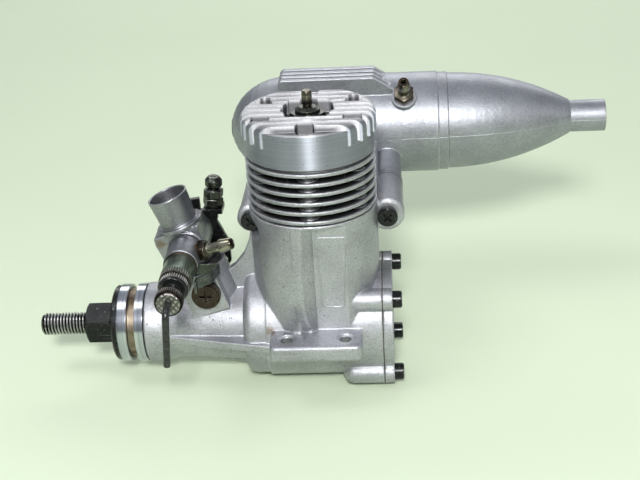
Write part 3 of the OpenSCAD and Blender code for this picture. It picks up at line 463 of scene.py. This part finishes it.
def head_finish():
    """Cylinder head: a turned band, and the rest blasted pale grey with painted shade between the
    ribs.
    """
    material, tree, shader = new_finish("machined_alloy", 0.88)
    # a lathe's fine grooves draw the lights out across them
    fill(tree, shader, {"Anisotropic": 0.9, "Anisotropic Rotation": 0.25})
    low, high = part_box("cylinder_head")
    edge = (high.y - low.y) / 2
    along, radius = about(tree, (0, 0, 0), (0, 0, 1))
    turned_band = between(tree, radius, edge - 0.00022, edge - 0.00008)
    rings = use(tree, tool_marks, Place=object_place(tree), Fine=7000.0)
    skin = use(tree, cast_grain, Grain=2600.0, Pits=0.7)
    worn = use(tree, worn_edge, Radius=0.0003)
    handled = use(tree, handling, Scratches=0.10)
    bright = blend_colour(tree, rings["Mask"], rgb(0.30, 0.315, 0.36), rgb(0.345, 0.36, 0.405))
    bright = veiled(tree, bright, skin["Pit"], 0.7, rgb(0.12, 0.12, 0.13))
    blasted = blend_colour(tree, skin["Tone"], rgb(0.42, 0.42, 0.435), rgb(0.62, 0.62, 0.64))
    # painted shade between the ribs, away from their outer ends
    rib_gap_shade = times(tree, between(tree, along, high.z - 0.0002, high.z - 0.0013),
                 between(tree, radius, edge - 0.0006, edge - 0.0020))
    blasted = veiled(tree, blasted, rib_gap_shade, 0.8, rgb(0.075, 0.075, 0.079))
    colour = blend_colour(tree, turned_band, blasted, bright)
    colour = veiled(tree, colour, worn["Mask"], 0.75, rgb(0.82, 0.83, 0.85))
    colour = blend_colour(tree, handled["Scratch"], colour, rgb(0.60, 0.61, 0.63))
    rough = raised(tree, 0.56, turned_band, -0.14)
    # the grain all but stops on the band, where it would break up the drawn-out lights
    grain = times(tree, skin["Height"], between(tree, turned_band, 0.0, 1.0, 0.8, 0.06))
    height = raised(tree, grain, rings["Height"], 0.2)
    fill(tree, shader, {"Base Color": colour,
                        "Roughness": raised(tree, rough, handled["Smear"], 0.06),
                        "Normal": relief(tree, height, worn["Normal"], 0.00004)})
    return material


def hub_finish():
    """Turned drive hub: bright discs and a groove gone brown."""
    material, tree, shader = new_finish("hub_alloy", 1.0)
    x, y, z = split(tree, object_place(tree))
    radius = vector_maths(tree, "LENGTH", joined(tree, z, y))
    rings = use(tree, tool_marks, Place=joined(tree, z, y, x), Fine=8000.0)
    worn = use(tree, worn_edge, Radius=0.00018)
    handled = use(tree, handling, Scratches=0.4)
    low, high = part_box("drive_hub")
    rim = (high.y - low.y) / 2
    colour = blend_colour(tree, rings["Mask"], rgb(0.36, 0.39, 0.44), rgb(0.56, 0.58, 0.62))
    groove = between(tree, radius, rim - 0.0005, rim - 0.0011)
    tarnish = blend_colour(tree, handled["Smear"], rgb(0.11, 0.075, 0.045), rgb(0.30, 0.25, 0.19))
    colour = blend_colour(tree, groove, colour, tarnish)
    colour = veiled(tree, colour, worn["Mask"], 0.75, rgb(0.80, 0.81, 0.82))
    fill(tree, shader, {"Base Color": colour, "Roughness": raised(tree, 0.2, groove, 0.22),
                        "Normal": relief(tree, rings["Height"], worn["Normal"], 0.000012)})
    return material


def thread_finish(crest):
    """Bright rubbed crests and near-black roots, which are painted shade."""
    material, tree, shader = new_finish("thread_steel", 1.0)
    radius = about(tree, (0, 0, 0), (1, 0, 0))[1]
    handled = use(tree, handling, Scratches=0.3)
    steel = blend_colour(tree, handled["Smear"], rgb(0.30, 0.30, 0.29), rgb(0.62, 0.62, 0.61))
    top = between(tree, radius, crest - 0.00042, crest - 0.00008)
    # the roots go near black below the crests: painted shade
    fill(tree, shader, {"Base Color": blend_colour(tree, top, rgb(0.018, 0.018, 0.018), steel),
                        "Roughness": raised(tree, 0.2, handled["Smear"], 0.1)})
    return material


def toothed(tree, colour, mask, radius, crest, worn=rgb(0.30, 0.29, 0.23)):
    """Adds worn crests, and near-black roots of painted shade, to a toothed ring."""
    top = between(tree, radius, crest - 0.00013, crest - 0.00003)
    # near black in the roots between the teeth: painted shade
    steel = blend_colour(tree, top, rgb(0.006, 0.006, 0.006), worn)
    return blend_colour(tree, mask, colour, steel)


def needle_finish(outer_end):
    """Black collet and neck, brown knurled knob and a pale cross-hatched end."""
    material, tree, shader = new_finish("needle_finish")
    centre = (needle_middle.x, outer_end, needle_middle.z)
    along, radius = about(tree, centre, (0, 1, 0))
    worn = use(tree, worn_edge, Radius=0.0002)
    handled = use(tree, handling, Scratches=0.3)
    knob = between(tree, along, KNOB_BACK + 0.0002, KNOB_BACK)
    face = between(tree, along, 0.00022, 0.00012)
    black = blend_colour(tree, worn["Mask"], rgb(0.010, 0.011, 0.011), rgb(0.06, 0.06, 0.06))
    brown = blend_colour(tree, handled["Smear"], rgb(0.012, 0.009, 0.007),
                         rgb(0.034, 0.024, 0.018))
    brown = blend_colour(tree, worn["Mask"], brown, rgb(0.055, 0.045, 0.038))
    colour = blend_colour(tree, knob, black, brown)
    ring = band(tree, along, NEEDLE_RING[0] + 0.0003, NEEDLE_RING[1])
    colour = toothed(tree, colour, ring, radius, NEEDLE_RING_R)
    rim = band(tree, along, KNOB_TEETH[0] - 0.0002, KNOB_TEETH[1])
    colour = toothed(tree, colour, rim, radius, KNOB_R, rgb(0.17, 0.145, 0.12))
    # the knob's end: two families of grooves, an eighth of a turn each way
    hatch = None
    for angle in (0.785, -0.785):
        moved = add(tree, "ShaderNodeMapping", {"Vector": object_place(tree),
                                                "Rotation": (0, angle, 0)}).outputs[0]
        wave = add(tree, "ShaderNodeTexWave", {"Vector": moved, "Scale": 270, "Distortion": 2.5,
                                               "Detail Scale": 2.0}, bands_direction="X")
        lines = wave.outputs["Fac"]
        hatch = lines if hatch is None else maths(tree, "MINIMUM", hatch, lines)
    silver = blend_colour(tree, between(tree, hatch, 0.0, 0.7), rgb(0.17, 0.165, 0.155),
                          rgb(0.47, 0.47, 0.46))
    silver = veiled(tree, silver, handled["Smear"], 0.35, rgb(0.10, 0.085, 0.075))
    fill(tree, shader, {"Base Color": blend_colour(tree, face, colour, silver),
                        "Roughness": raised(tree, 0.16, knob, 0.16),
                        "Metallic": maths(tree, "MAXIMUM", knob, 0.1),
                        "Normal": relief(tree, times(tree, hatch, face), worn["Normal"], 0.00015)})
    return material


def holder_finish(outer_end, crest):
    """Greenish plated steel with a toothed end, a dark brown seat that is partly painted shade in
    the gap at the collar, and painted shade on its outer end face.
    """
    material, tree, shader = new_finish("holder_finish", 0.85)
    centre = (needle_middle.x, outer_end, needle_middle.z)
    along, radius = about(tree, centre, (0, 1, 0))
    worn = use(tree, worn_edge, Radius=0.0002)
    handled = use(tree, handling, Scratches=0.35)
    colour = blend_colour(tree, handled["Smear"], rgb(0.062, 0.092, 0.068),
                          rgb(0.115, 0.145, 0.118))
    ring = band(tree, along, HOLDER_END + 0.0002, HOLDER_RING)
    colour = toothed(tree, colour, ring, radius, crest)
    # dark brown steel ring at the seat, widened with painted shade in the gap where the holder
    # enters the collar
    seat = band(tree, along, COLLAR_END - 0.0008, COLLAR_END + 0.001)
    colour = blend_colour(tree, seat, colour, rgb(0.035, 0.024, 0.016))
    # the outer end face and the lip of the bore near black: painted shade in the groove before the
    # needle's ring
    mouth = between(tree, along, HOLDER_END + 0.00025, HOLDER_END + 0.0001)
    colour = blend_colour(tree, mouth, colour, rgb(0.008, 0.008, 0.008))
    colour = veiled(tree, colour, worn["Mask"], 0.5, rgb(0.45, 0.45, 0.42))
    fill(tree, shader, {"Base Color": colour, "Normal": worn["Normal"],
                        "Roughness": raised(tree, 0.3, handled["Smear"], 0.12)})
    return material


def nipple_finish(name, mount):
    """Plated brass: brown hexagon, greenish bright barb and a dark mouth."""
    material, tree, shader = new_finish(name, 1.0)
    along = about(tree, Vector(mount["pos_m"]), Vector(mount["axis"]))[0]
    worn = use(tree, worn_edge, Radius=0.0002)
    handled = use(tree, handling, Scratches=0.4)
    half = mount["dims"]["length_mm"] * MM / 2
    plate = blend_colour(tree, handled["Smear"], rgb(0.20, 0.19, 0.14), rgb(0.36, 0.35, 0.28))
    brown = blend_colour(tree, handled["Smear"], rgb(0.024, 0.016, 0.011), rgb(0.07, 0.05, 0.036))
    hexagon = between(tree, along, -half + 0.0004, -half - 0.0002)
    colour = blend_colour(tree, hexagon, plate, brown)
    mouth = between(tree, along, half + 0.0001, half + 0.0005)
    colour = blend_colour(tree, mouth, colour, rgb(0.10, 0.075, 0.05))
    colour = veiled(tree, colour, worn["Mask"], 0.7, rgb(0.58, 0.55, 0.47))
    fill(tree, shader, {"Base Color": colour, "Normal": worn["Normal"],
                        "Roughness": raised(tree, 0.2, handled["Smear"], 0.12)})
    return material


CASE_LOOK = dict(dark=rgb(0.32, 0.325, 0.345), light=rgb(0.49, 0.495, 0.525),
                 rim=rgb(0.84, 0.85, 0.88), grain=2300.0, depth=0.00008, rough=0.44, pits=0.8,
                 edge=0.0007, metallic=0.86)
cast_looks = {
    "cast_alloy": CASE_LOOK,
    # the crankcase, stained at both ends of its near lug, with painted shade between its fins
    "case_alloy": dict(CASE_LOOK, shaded_fin_gaps=True, stains=[((-0.0128, -0.0160, 0.0045), 0.0022),
                                                         ((0.0136, -0.0175, 0.0030), 0.0014)]),
    "carburettor_alloy": dict(dark=rgb(0.215, 0.22, 0.235), light=rgb(0.34, 0.345, 0.37),
                              rim=rgb(0.80, 0.81, 0.84), grain=2600.0, depth=0.00004, rough=0.36,
                              pits=0.5, edge=0.0005, metallic=0.95,
                              stains=[((-0.0418, -0.0055, 0.0262), 0.0022)]),
    "muffler_alloy": dict(dark=rgb(0.28, 0.29, 0.315), light=rgb(0.37, 0.38, 0.41),
                          rim=rgb(0.74, 0.75, 0.78), grain=1700.0, depth=0.00006, rough=0.43,
                          pits=0.35, edge=0.0005, metallic=0.88, mould_line=(0.0408, 0.024)),
}

turned_looks = {
    "bright_steel": dict(dark=rgb(0.26, 0.28, 0.26), light=rgb(0.42, 0.44, 0.41), rough=0.27,
                         turn=ALONG_X, grime=rgb(0.10, 0.10, 0.08)),
    "nickel_steel": dict(dark=rgb(0.045, 0.05, 0.043), light=rgb(0.11, 0.12, 0.105), rough=0.3,
                         centre=needle_middle, turn=ALONG_Y, rim=rgb(0.42, 0.42, 0.39),
                         grime=rgb(0.035, 0.03, 0.022)),
    "spring_steel": dict(dark=rgb(0.10, 0.115, 0.10), light=rgb(0.20, 0.22, 0.20), rough=0.35,
                         scratches=0.5, rim=rgb(0.42, 0.43, 0.42), grime=rgb(0.035, 0.04, 0.03)),
    "brass": dict(dark=rgb(0.15, 0.135, 0.10), light=rgb(0.33, 0.31, 0.25), rough=0.24,
                  rim=rgb(0.60, 0.57, 0.50), grime=rgb(0.055, 0.038, 0.026)),
    "bronze": dict(dark=rgb(0.40, 0.27, 0.14), light=rgb(0.55, 0.39, 0.22), rough=0.35,
                   turn=ALONG_X),
    "copper": dict(dark=rgb(0.075, 0.048, 0.033), light=rgb(0.15, 0.10, 0.07), rough=0.38),
    "liner_steel": dict(dark=rgb(0.42, 0.42, 0.42), light=rgb(0.58, 0.58, 0.58), rough=0.24),
    "piston_alloy": dict(dark=rgb(0.36, 0.36, 0.35), light=rgb(0.54, 0.54, 0.53), rough=0.34,
                         grime=rgb(0.14, 0.11, 0.08)),
    "rod_alloy": dict(dark=rgb(0.52, 0.52, 0.51), light=rgb(0.68, 0.68, 0.67), rough=0.34),
}

dark_looks = {
    "dark_steel": dict(base=rgb(0.011, 0.012, 0.012), sheen=rgb(0.024, 0.025, 0.025),
                       rim=rgb(0.22, 0.22, 0.22), rough=0.2, metallic=0.7),
    "brown_steel": dict(base=rgb(0.028, 0.020, 0.015), sheen=rgb(0.062, 0.045, 0.034),
                        rim=rgb(0.30, 0.26, 0.22), rough=0.28, metallic=0.85),
    "dark_wire": dict(base=rgb(0.028, 0.029, 0.029), sheen=rgb(0.06, 0.062, 0.062),
                      rim=rgb(0.28, 0.28, 0.28), rough=0.26, metallic=0.8),
    "black_plastic": dict(base=rgb(0.013, 0.014, 0.014), sheen=rgb(0.028, 0.03, 0.03),
                          rim=rgb(0.10, 0.10, 0.10), rough=0.18, metallic=0.0),
    "black_rubber": dict(base=rgb(0.012, 0.012, 0.012), sheen=rgb(0.03, 0.03, 0.03),
                         rim=rgb(0.06, 0.06, 0.06), rough=0.6, metallic=0.0),
    "gasket_fibre": dict(base=rgb(0.035, 0.034, 0.03), sheen=rgb(0.09, 0.085, 0.075),
                         rim=rgb(0.14, 0.13, 0.11), rough=0.75, metallic=0.0),
}

finishes = {"machined_alloy": head_finish(), "hub_alloy": hub_finish()}
for make, looks in ((cast_finish, cast_looks), (turned_finish, turned_looks),
                    (dark_finish, dark_looks)):
    for label, look in looks.items():
        finishes[label] = make(label, **look)

slot_of = {p["node"]: p["material_slot"] for p in frame["record"]["subparts"]}
for label, part in nodes.items():
    part.data.materials.clear()
    part.data.materials.append(finishes[slot_of[label]])
nodes["needle_wire"].data.materials[0] = finishes["dark_wire"]
nodes["ratchet_spring"].data.materials[0] = finishes["spring_steel"]


# ---------- tools for detailed pieces that stand for plain solids ----------

def axis_place(origin, direction):
    """Brings work turned about Z onto a real axis."""
    turn = Vector(direction).to_track_quat("Z", "Y").to_matrix().to_4x4()
    return Matrix.Translation(origin) @ turn


def turned(bm, profile, steps=64):
    """Spins a profile of (distance along, radius) pairs about Z, closed where it meets the axis."""
    points = [bm.verts.new((r, 0, z)) for z, r in profile]
    edges = [bm.edges.new(pair) for pair in zip(points, points[1:])]
    bmesh.ops.spin(bm, geom=points + edges, cent=(0, 0, 0), axis=(0, 0, 1), angle=math.tau,
                   steps=steps, use_merge=True)
    bmesh.ops.remove_doubles(bm, verts=bm.verts, dist=1e-7)


def knurl(bm, z0, z1, radius):
    """Presses axial teeth into a turned ring that has two steps to a tooth."""
    for v in bm.verts:
        r = math.hypot(v.co.x, v.co.y)
        if z0 - 1e-7 <= v.co.z <= z1 + 1e-7 and abs(r - radius) < 2e-5:
            step = round(math.atan2(v.co.y, v.co.x) / math.tau * TEETH * 2)
            if step % 2:
                v.co.x *= 1 - TOOTH_DEPTH / r
                v.co.y *= 1 - TOOTH_DEPTH / r


def cut_off(bm, place, normal):
    """Cuts away all that lies beyond a plane and returns the edges of the cut."""
    cut = bmesh.ops.bisect_plane(bm, geom=bm.verts[:] + bm.edges[:] + bm.faces[:],
                                 plane_co=place, plane_no=normal, clear_outer=True)
    return [e for e in cut["geom_cut"] if isinstance(e, bmesh.types.BMEdge)]


def screw_thread(bm, length, radius, pitch):
    """A V thread on Z with a small flat crest, trimmed at both ends and tapered at its tip."""
    depth = 0.6 * pitch
    taper = 0.0006
    steps = 28
    turns = int(length / pitch) + 3
    profile = [(0.0, radius - depth), (0.44, radius), (0.56, radius), (1.0, radius - depth)]
    points = [bm.verts.new((r, 0, (share - 1) * pitch)) for share, r in profile]
    edges = [bm.edges.new(pair) for pair in zip(points, points[1:])]
    bmesh.ops.spin(bm, geom=points + edges, cent=(0, 0, 0), axis=(0, 0, 1),
                   dvec=(0, 0, pitch / steps), angle=math.tau * turns, steps=steps * turns,
                   use_merge=False)
    bmesh.ops.remove_doubles(bm, verts=bm.verts, dist=2e-6)
    for z, side in ((0, -1), (length, 1)):
        bmesh.ops.contextual_create(bm, geom=cut_off(bm, (0, 0, z), (0, 0, side)))
    for v in bm.verts:
        r = math.hypot(v.co.x, v.co.y)
        limit = radius - max(0.0, v.co.z - (length - taper))
        if r > limit:
            v.co.x *= limit / r
            v.co.y *= limit / r


def piece(name, bm, body, slot, stands_for, place=None, material=None):
    """Puts finished work in the engine: placed, smoothed between its corners and given its look."""
    if place is not None:
        bmesh.ops.transform(bm, matrix=place, verts=bm.verts)
    bmesh.ops.recalc_face_normals(bm, faces=bm.faces)
    for face in bm.faces:
        face.smooth = True
    for edge in bm.edges:
        edge.smooth = len(edge.link_faces) == 2 and edge.calc_face_angle(0) < math.radians(32)
    mesh = bpy.data.meshes.new(name)
    bm.to_mesh(mesh)
    bm.free()
    mesh.materials.append(material or finishes[slot])
    made = bpy.data.objects.new(name, mesh)
    bpy.context.collection.objects.link(made)
    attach(made, body)
    if stands_for:
        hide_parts(*stands_for)


def copy_of(node):
    bm = bmesh.new()
    bm.from_mesh(nodes[node].data)
    bmesh.ops.remove_doubles(bm, verts=bm.verts, dist=1e-6)
    return bm


# ---------- crankcase ----------

def soften_bulge(bm):
    """Rounds the upright ridge of the transfer bulge, over a grid cut into its two faces."""
    x0, x1, y0, y1 = -0.0072, 0.0012, -0.0190, -0.0140
    column, row = 0.6 * MM, 2 * MM
    passes, fewest_points = 22, 60

    def near(co, low, high):
        return x0 < co.x < x1 and y0 < co.y < y1 and low < co.z < high

    cuts = [((x * column, 0, 0), (1, 0, 0)) for x in range(-11, 1)]
    cuts += [((0, 0, z * row), (0, 0, 1)) for z in range(3, 18)]
    for place, normal in cuts:
        faces = [f for f in bm.faces
                 if near(f.calc_center_median(), LUG_TOP - 0.0015, JACKET_TOP + 0.0002)]
        edges = dict.fromkeys(e for f in faces for e in f.edges)
        verts = dict.fromkeys(v for f in faces for v in f.verts)
        bmesh.ops.bisect_plane(bm, geom=faces + list(edges) + list(verts), dist=1e-6,
                               plane_co=place, plane_no=normal)
    soft = [v for v in bm.verts if near(v.co, LUG_TOP + 0.0005, JACKET_TOP - 0.0004)
            and x0 + 0.0008 < v.co.x < x1 - 0.0011]
    if len(soft) < fewest_points:
        raise RuntimeError("the bulge has too few points to round")
    for turn in range(passes):
        bmesh.ops.smooth_vert(bm, verts=soft, factor=0.5, use_axis_x=False, use_axis_y=True,
                              use_axis_z=False)
        # less and less towards both ends, so the rounding runs out without a step
        soft = [v for v in soft if LUG_TOP + 0.0002 * turn < v.co.z < JACKET_TOP - 0.0001 * turn]


def lug_rims(bm):
    """Edges round the upper and lower faces of the mounting lugs, but not round their holes."""
    base = mounts["beam_mounts"]["dims"]
    step_x, step_y = base["spacing_x_mm"] / 2 * MM, base["spacing_y_mm"] / 2 * MM
    jacket_side, hole_reach = 0.0157, 0.0036
    rims = []
    for edge in bm.edges:
        a, b = (v.co for v in edge.verts)
        centre = (a + b) / 2
        if min(abs(a.y), abs(b.y)) < jacket_side or abs(a.z - b.z) > 1e-5 or not edge.is_manifold:
            continue
        hole = math.hypot(abs(centre.x) - step_x, abs(centre.y) - step_y) < hole_reach
        level = min(abs(a.z - LUG_TOP), abs(a.z)) < 2e-5
        if level and not hole and edge.calc_face_angle(0) > 1.0:
            rims.append(edge)
    return rims


def rounded_crankcase():
    """The crankcase with its lugs' rims and the ridge of its near bulge rounded as cast."""
    bm = copy_of("crankcase")
    bmesh.ops.dissolve_limit(bm, angle_limit=math.radians(0.3), verts=bm.verts, edges=bm.edges)
    rims = lug_rims(bm)
    if not rims:
        raise RuntimeError("no lug rims found")
    bmesh.ops.bevel(bm, geom=rims, offset=0.0009, segments=4, profile=0.5, affect="EDGES",
                    material=-1)
    soften_bulge(bm)
    piece("crankcase_cast", bm, "engine", "cast_alloy", ["crankcase"],
          material=finishes["case_alloy"])


def panel_outline():
    """The raised line of the bare panel on the jacket, a trapezoid with round corners."""
    near_face = -0.01492
    corners = [(0.0009, 0.0320), (0.0094, 0.0318), (0.0080, 0.0111), (0.0019, 0.0113)]
    bm = bmesh.new()
    bm.faces.new([bm.verts.new((x, near_face, z)) for x, z in corners])
    bmesh.ops.bevel(bm, geom=bm.verts[:], offset=0.0012, segments=5, profile=0.5,
                    affect="VERTICES", material=-1)
    ring = bmesh.ops.inset_region(bm, faces=bm.faces[:], thickness=0.00034, depth=0,
                                  use_boundary=True)
    inner = [f for f in bm.faces if f not in ring["faces"]]
    bmesh.ops.delete(bm, geom=inner, context="FACES")
    out = bmesh.ops.extrude_face_region(bm, geom=bm.faces[:])
    back = [v for v in out["geom"] if isinstance(v, bmesh.types.BMVert)]
    bmesh.ops.translate(bm, verts=back, vec=(0, 0.0004, 0))
    piece("panel_outline", bm, "engine", "cast_alloy", None)


# ---------- crankshaft ----------

def threaded_crankshaft():
    """The shaft with a real 28 threads per inch end in front of the nut."""
    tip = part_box("crankshaft")[0].x
    nut_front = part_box("prop_nut")[0].x
    bm = copy_of("crankshaft")
    rim = cut_off(bm, (nut_front + 0.0004, 0, 0), (-1, 0, 0))
    bmesh.ops.holes_fill(bm, edges=rim)
    piece("crankshaft_body", bm, "crank", "bright_steel", ["crankshaft"])
    crest = mounts["prop_shaft"]["dims"]["r_mm"] * MM
    length = nut_front + 0.001 - tip
    bm = bmesh.new()
    screw_thread(bm, length, crest, THREAD_PITCH)
    piece("crankshaft_thread", bm, "crank", "bright_steel", None,
          axis_place((tip + length, 0, 0), (-1, 0, 0)), thread_finish(crest))


# ---------- carburettor and needle ----------

def thin_intake_rim():
    """The carburettor body with its intake flared to a thin rim."""
    bm = copy_of("carburettor_body")
    mouth = mounts["intake_mouth"]
    axis, centre = Vector(mouth["axis"]), Vector(mouth["pos_m"])
    half, r = mouth["dims"]["length_mm"] / 2 * MM, mouth["dims"]["r_mm"] * MM
    moved = 0
    for v in bm.verts:
        away = v.co - centre
        along = away.dot(axis)
        off = away - axis * along
        if abs(along - half) < 0.0003 and abs(off.length - r) < 0.00005:
            v.co += off.normalized() * 0.00068
            moved += 1
    if not moved:
        raise RuntimeError("no intake rim found")
    piece("carburettor_cast", bm, "engine", "cast_alloy", ["carburettor_body"],
          material=finishes["carburettor_alloy"])


def needle_parts():
    """Needle with its toothed collet, thin neck and knurled knob, turned as one."""
    low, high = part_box("needle_valve")
    end = high.y - low.y
    ring0, ring1 = end - NEEDLE_RING[1], end - NEEDLE_RING[0]
    knob0, knob1 = end - KNOB_TEETH[1], end - KNOB_TEETH[0]
    back, collet = end - KNOB_BACK, end - 0.0256
    ring_r, inset = NEEDLE_RING_R, NEEDLE_RING_R - 0.0004
    wire_hole_r, wire_hole_end = 0.0009, end - 0.0038
    bm = bmesh.new()
    rows = [(0, 0), (0, 0.001), (collet, 0.001), (collet, 0.0021), (ring0 - 0.0004, 0.0021),
            (ring0 - 0.0004, inset), (ring0, inset), (ring0, ring_r), (ring1 - 0.0003, ring_r),
            (ring1 - 0.0001, ring_r - 0.0003), (ring1 + 0.0002, inset), (ring1 + 0.0004, 0.0034),
            (ring1 + 0.0004, 0.0019), (back, 0.0018), (back + 0.0002, 0.0026),
            (back + 0.0004, KNOB_R - 0.0002), (knob0, KNOB_R), (knob1, KNOB_R),
            (end - 0.0003, 0.0034), (end - 0.0001, 0.0028), (end, 0.0027), (end, wire_hole_r),
            (wire_hole_end, wire_hole_r), (wire_hole_end, 0)]
    turned(bm, rows, 2 * TEETH)
    knurl(bm, ring0, ring1 - 0.0003, ring_r)
    knurl(bm, knob0, knob1, KNOB_R)
    place = axis_place((needle_middle.x, high.y, needle_middle.z), (0, -1, 0))
    piece("needle_and_knob", bm, "needle", "black_plastic", ["needle_valve"], place,
          needle_finish(low.y))


def holder():
    """Needle holder: seated in the casting's collar, a plain barrel, and teeth at its outer end."""
    low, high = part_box("needle_holder")
    outer_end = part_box("needle_valve")[0].y
    r = (high.x - low.x) / 2 + 0.0001
    end, ring, seat = (high.y - outer_end - d for d in (HOLDER_END, HOLDER_RING, COLLAR_END))
    needle_hole, mouth_r = 0.00102, 0.0023
    bm = bmesh.new()
    rows = [(0, needle_hole), (0, 0.0025), (0.0028, 0.0025), (0.0028, 0.0036),
            (seat - 0.0004, 0.0036), (seat - 0.0003, 0.0044), (seat + 0.0001, 0.0045),
            (seat + 0.0005, 0.0045), (seat + 0.0006, r - 0.0001), (seat + 0.0008, r),
            (ring - 0.0004, r), (ring - 0.0003, r - 0.0003), (ring, r - 0.0003), (ring, r),
            (end - 0.0002, r), (end, r - 0.0003), (end, mouth_r), (end - 0.006, mouth_r),
            (end - 0.0062, needle_hole), (0, needle_hole)]
    turned(bm, rows, 2 * TEETH)
    knurl(bm, ring, end - 0.0002, r)
    place = axis_place((needle_middle.x, high.y, needle_middle.z), (0, -1, 0))
    piece("needle_holder_toothed", bm, "engine", "nickel_steel", ["needle_holder"], place,
          holder_finish(outer_end, r))
    # the collar of the casting round the inner end of the holder
    bm = bmesh.new()
    rows = [(0.0008, 0.0037), (0.0008, 0.0049), (0.0016, 0.00475), (seat - 0.0009, 0.0047),
            (seat - 0.0005, 0.0045), (seat - 0.0004, 0.0042), (seat - 0.0004, 0.0037),
            (0.0008, 0.0037)]
    turned(bm, rows, 72)
    piece("holder_collar", bm, "engine", "cast_alloy", None, place, finishes["carburettor_alloy"])


# ---------- nipples and glow plug terminal ----------

def barbed_nipple(name, node, across_flats, hex_from, hex_to, inner_end, collar):
    """A tube nipple: hexagon, collar, neck and tapered barb round an open bore."""
    mount = mounts[node]
    half = mount["dims"]["length_mm"] * MM / 2
    wall, tip, bore = -half, half + 0.0006, 0.0008
    bm = bmesh.new()
    rows = [(inner_end, bore), (inner_end, collar - 0.0001), (wall - 0.0002, collar),
            (wall, collar), (wall + 0.0002, 0.00145), (0.0002, 0.0013), (0.0005, 0.0019),
            (0.0008, 0.0019), (tip - 0.0003, 0.00155), (tip, 0.0014), (tip, bore),
            (inner_end, bore)]
    turned(bm, rows, 48)
    hexagon = bmesh.new()
    corner_r = across_flats / math.sqrt(3)
    bmesh.ops.create_cone(hexagon, cap_ends=True, segments=6, radius1=corner_r, radius2=corner_r,
                          depth=hex_to - hex_from)
    rims = [e for e in hexagon.edges if abs(e.verts[0].co.z - e.verts[1].co.z) < 1e-9]
    bmesh.ops.bevel(hexagon, geom=rims, offset=0.0002, segments=2, profile=0.5, affect="EDGES",
                    material=-1)
    bmesh.ops.translate(hexagon, verts=hexagon.verts, vec=(0, 0, (hex_from + hex_to) / 2))
    spare = bpy.data.meshes.new("spare")
    hexagon.to_mesh(spare)
    hexagon.free()
    bm.from_mesh(spare)
    bpy.data.meshes.remove(spare)
    piece(name, bm, "engine", "brass", [node], axis_place(mount["pos_m"], mount["axis"]),
          nipple_finish(name + "_finish", mount))


def fuel_and_pressure_nipples():
    back = -mounts["fuel_nipple"]["dims"]["length_mm"] * MM / 2 - 0.0021
    barbed_nipple("fuel_nipple_barbed", "fuel_nipple", 0.0052, back, back + 0.0016, back, 0.0023)
    foot = -mounts["pressure_nipple"]["dims"]["length_mm"] * MM / 2 - 0.0026
    barbed_nipple("pressure_nipple_barbed", "pressure_nipple", 0.00537, foot, foot + 0.0026,
                  foot - 0.003, 0.0017)


def waisted_terminal():
    """Glow plug terminal with a waist for the clip."""
    low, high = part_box("plug_terminal")
    length = high.z - low.z
    r = mounts["plug_terminal"]["dims"]["r_mm"] * MM
    shares = [(0, 0), (0, 1), (0.10, 1), (0.13, 0.8), (0.18, 0.8), (0.21, 1), (0.27, 1),
              (0.32, 0.72), (0.48, 0.72), (0.55, 0.98), (0.93, 1), (1, 0.8), (1, 0)]
    bm = bmesh.new()
    turned(bm, [(length * along, r * out) for along, out in shares], 48)
    centre = middle("plug_terminal")
    piece("plug_terminal_waisted", bm, "engine", "brass", ["plug_terminal"],
          axis_place((centre.x, centre.y, low.z), (0, 0, 1)))


engine_camera()
studio()
pale_floor()
softbox("near_camera", (0.03, -0.60, 0.47), (0.0, 0.0, 0.02), (0.13, 0.10), 1.85, beam=110)
softbox("key", (-0.30, -0.12, 0.66), (0.0, 0.0, 0.02), (0.26, 0.22), 1.0)
softbox("fill", (0.46, -0.30, 0.34), (0.02, 0.0, 0.02), (0.30, 0.26), 0.3, (1.0, 0.98, 0.94))
softbox("back", (0.05, 0.72, 0.44), (0.02, 0.02, 0.03), (0.8, 0.3), 2.3)

threaded_crankshaft()
needle_parts()
holder()
rounded_crankcase()
thin_intake_rim()
panel_outline()
fuel_and_pressure_nipples()
waisted_terminal()
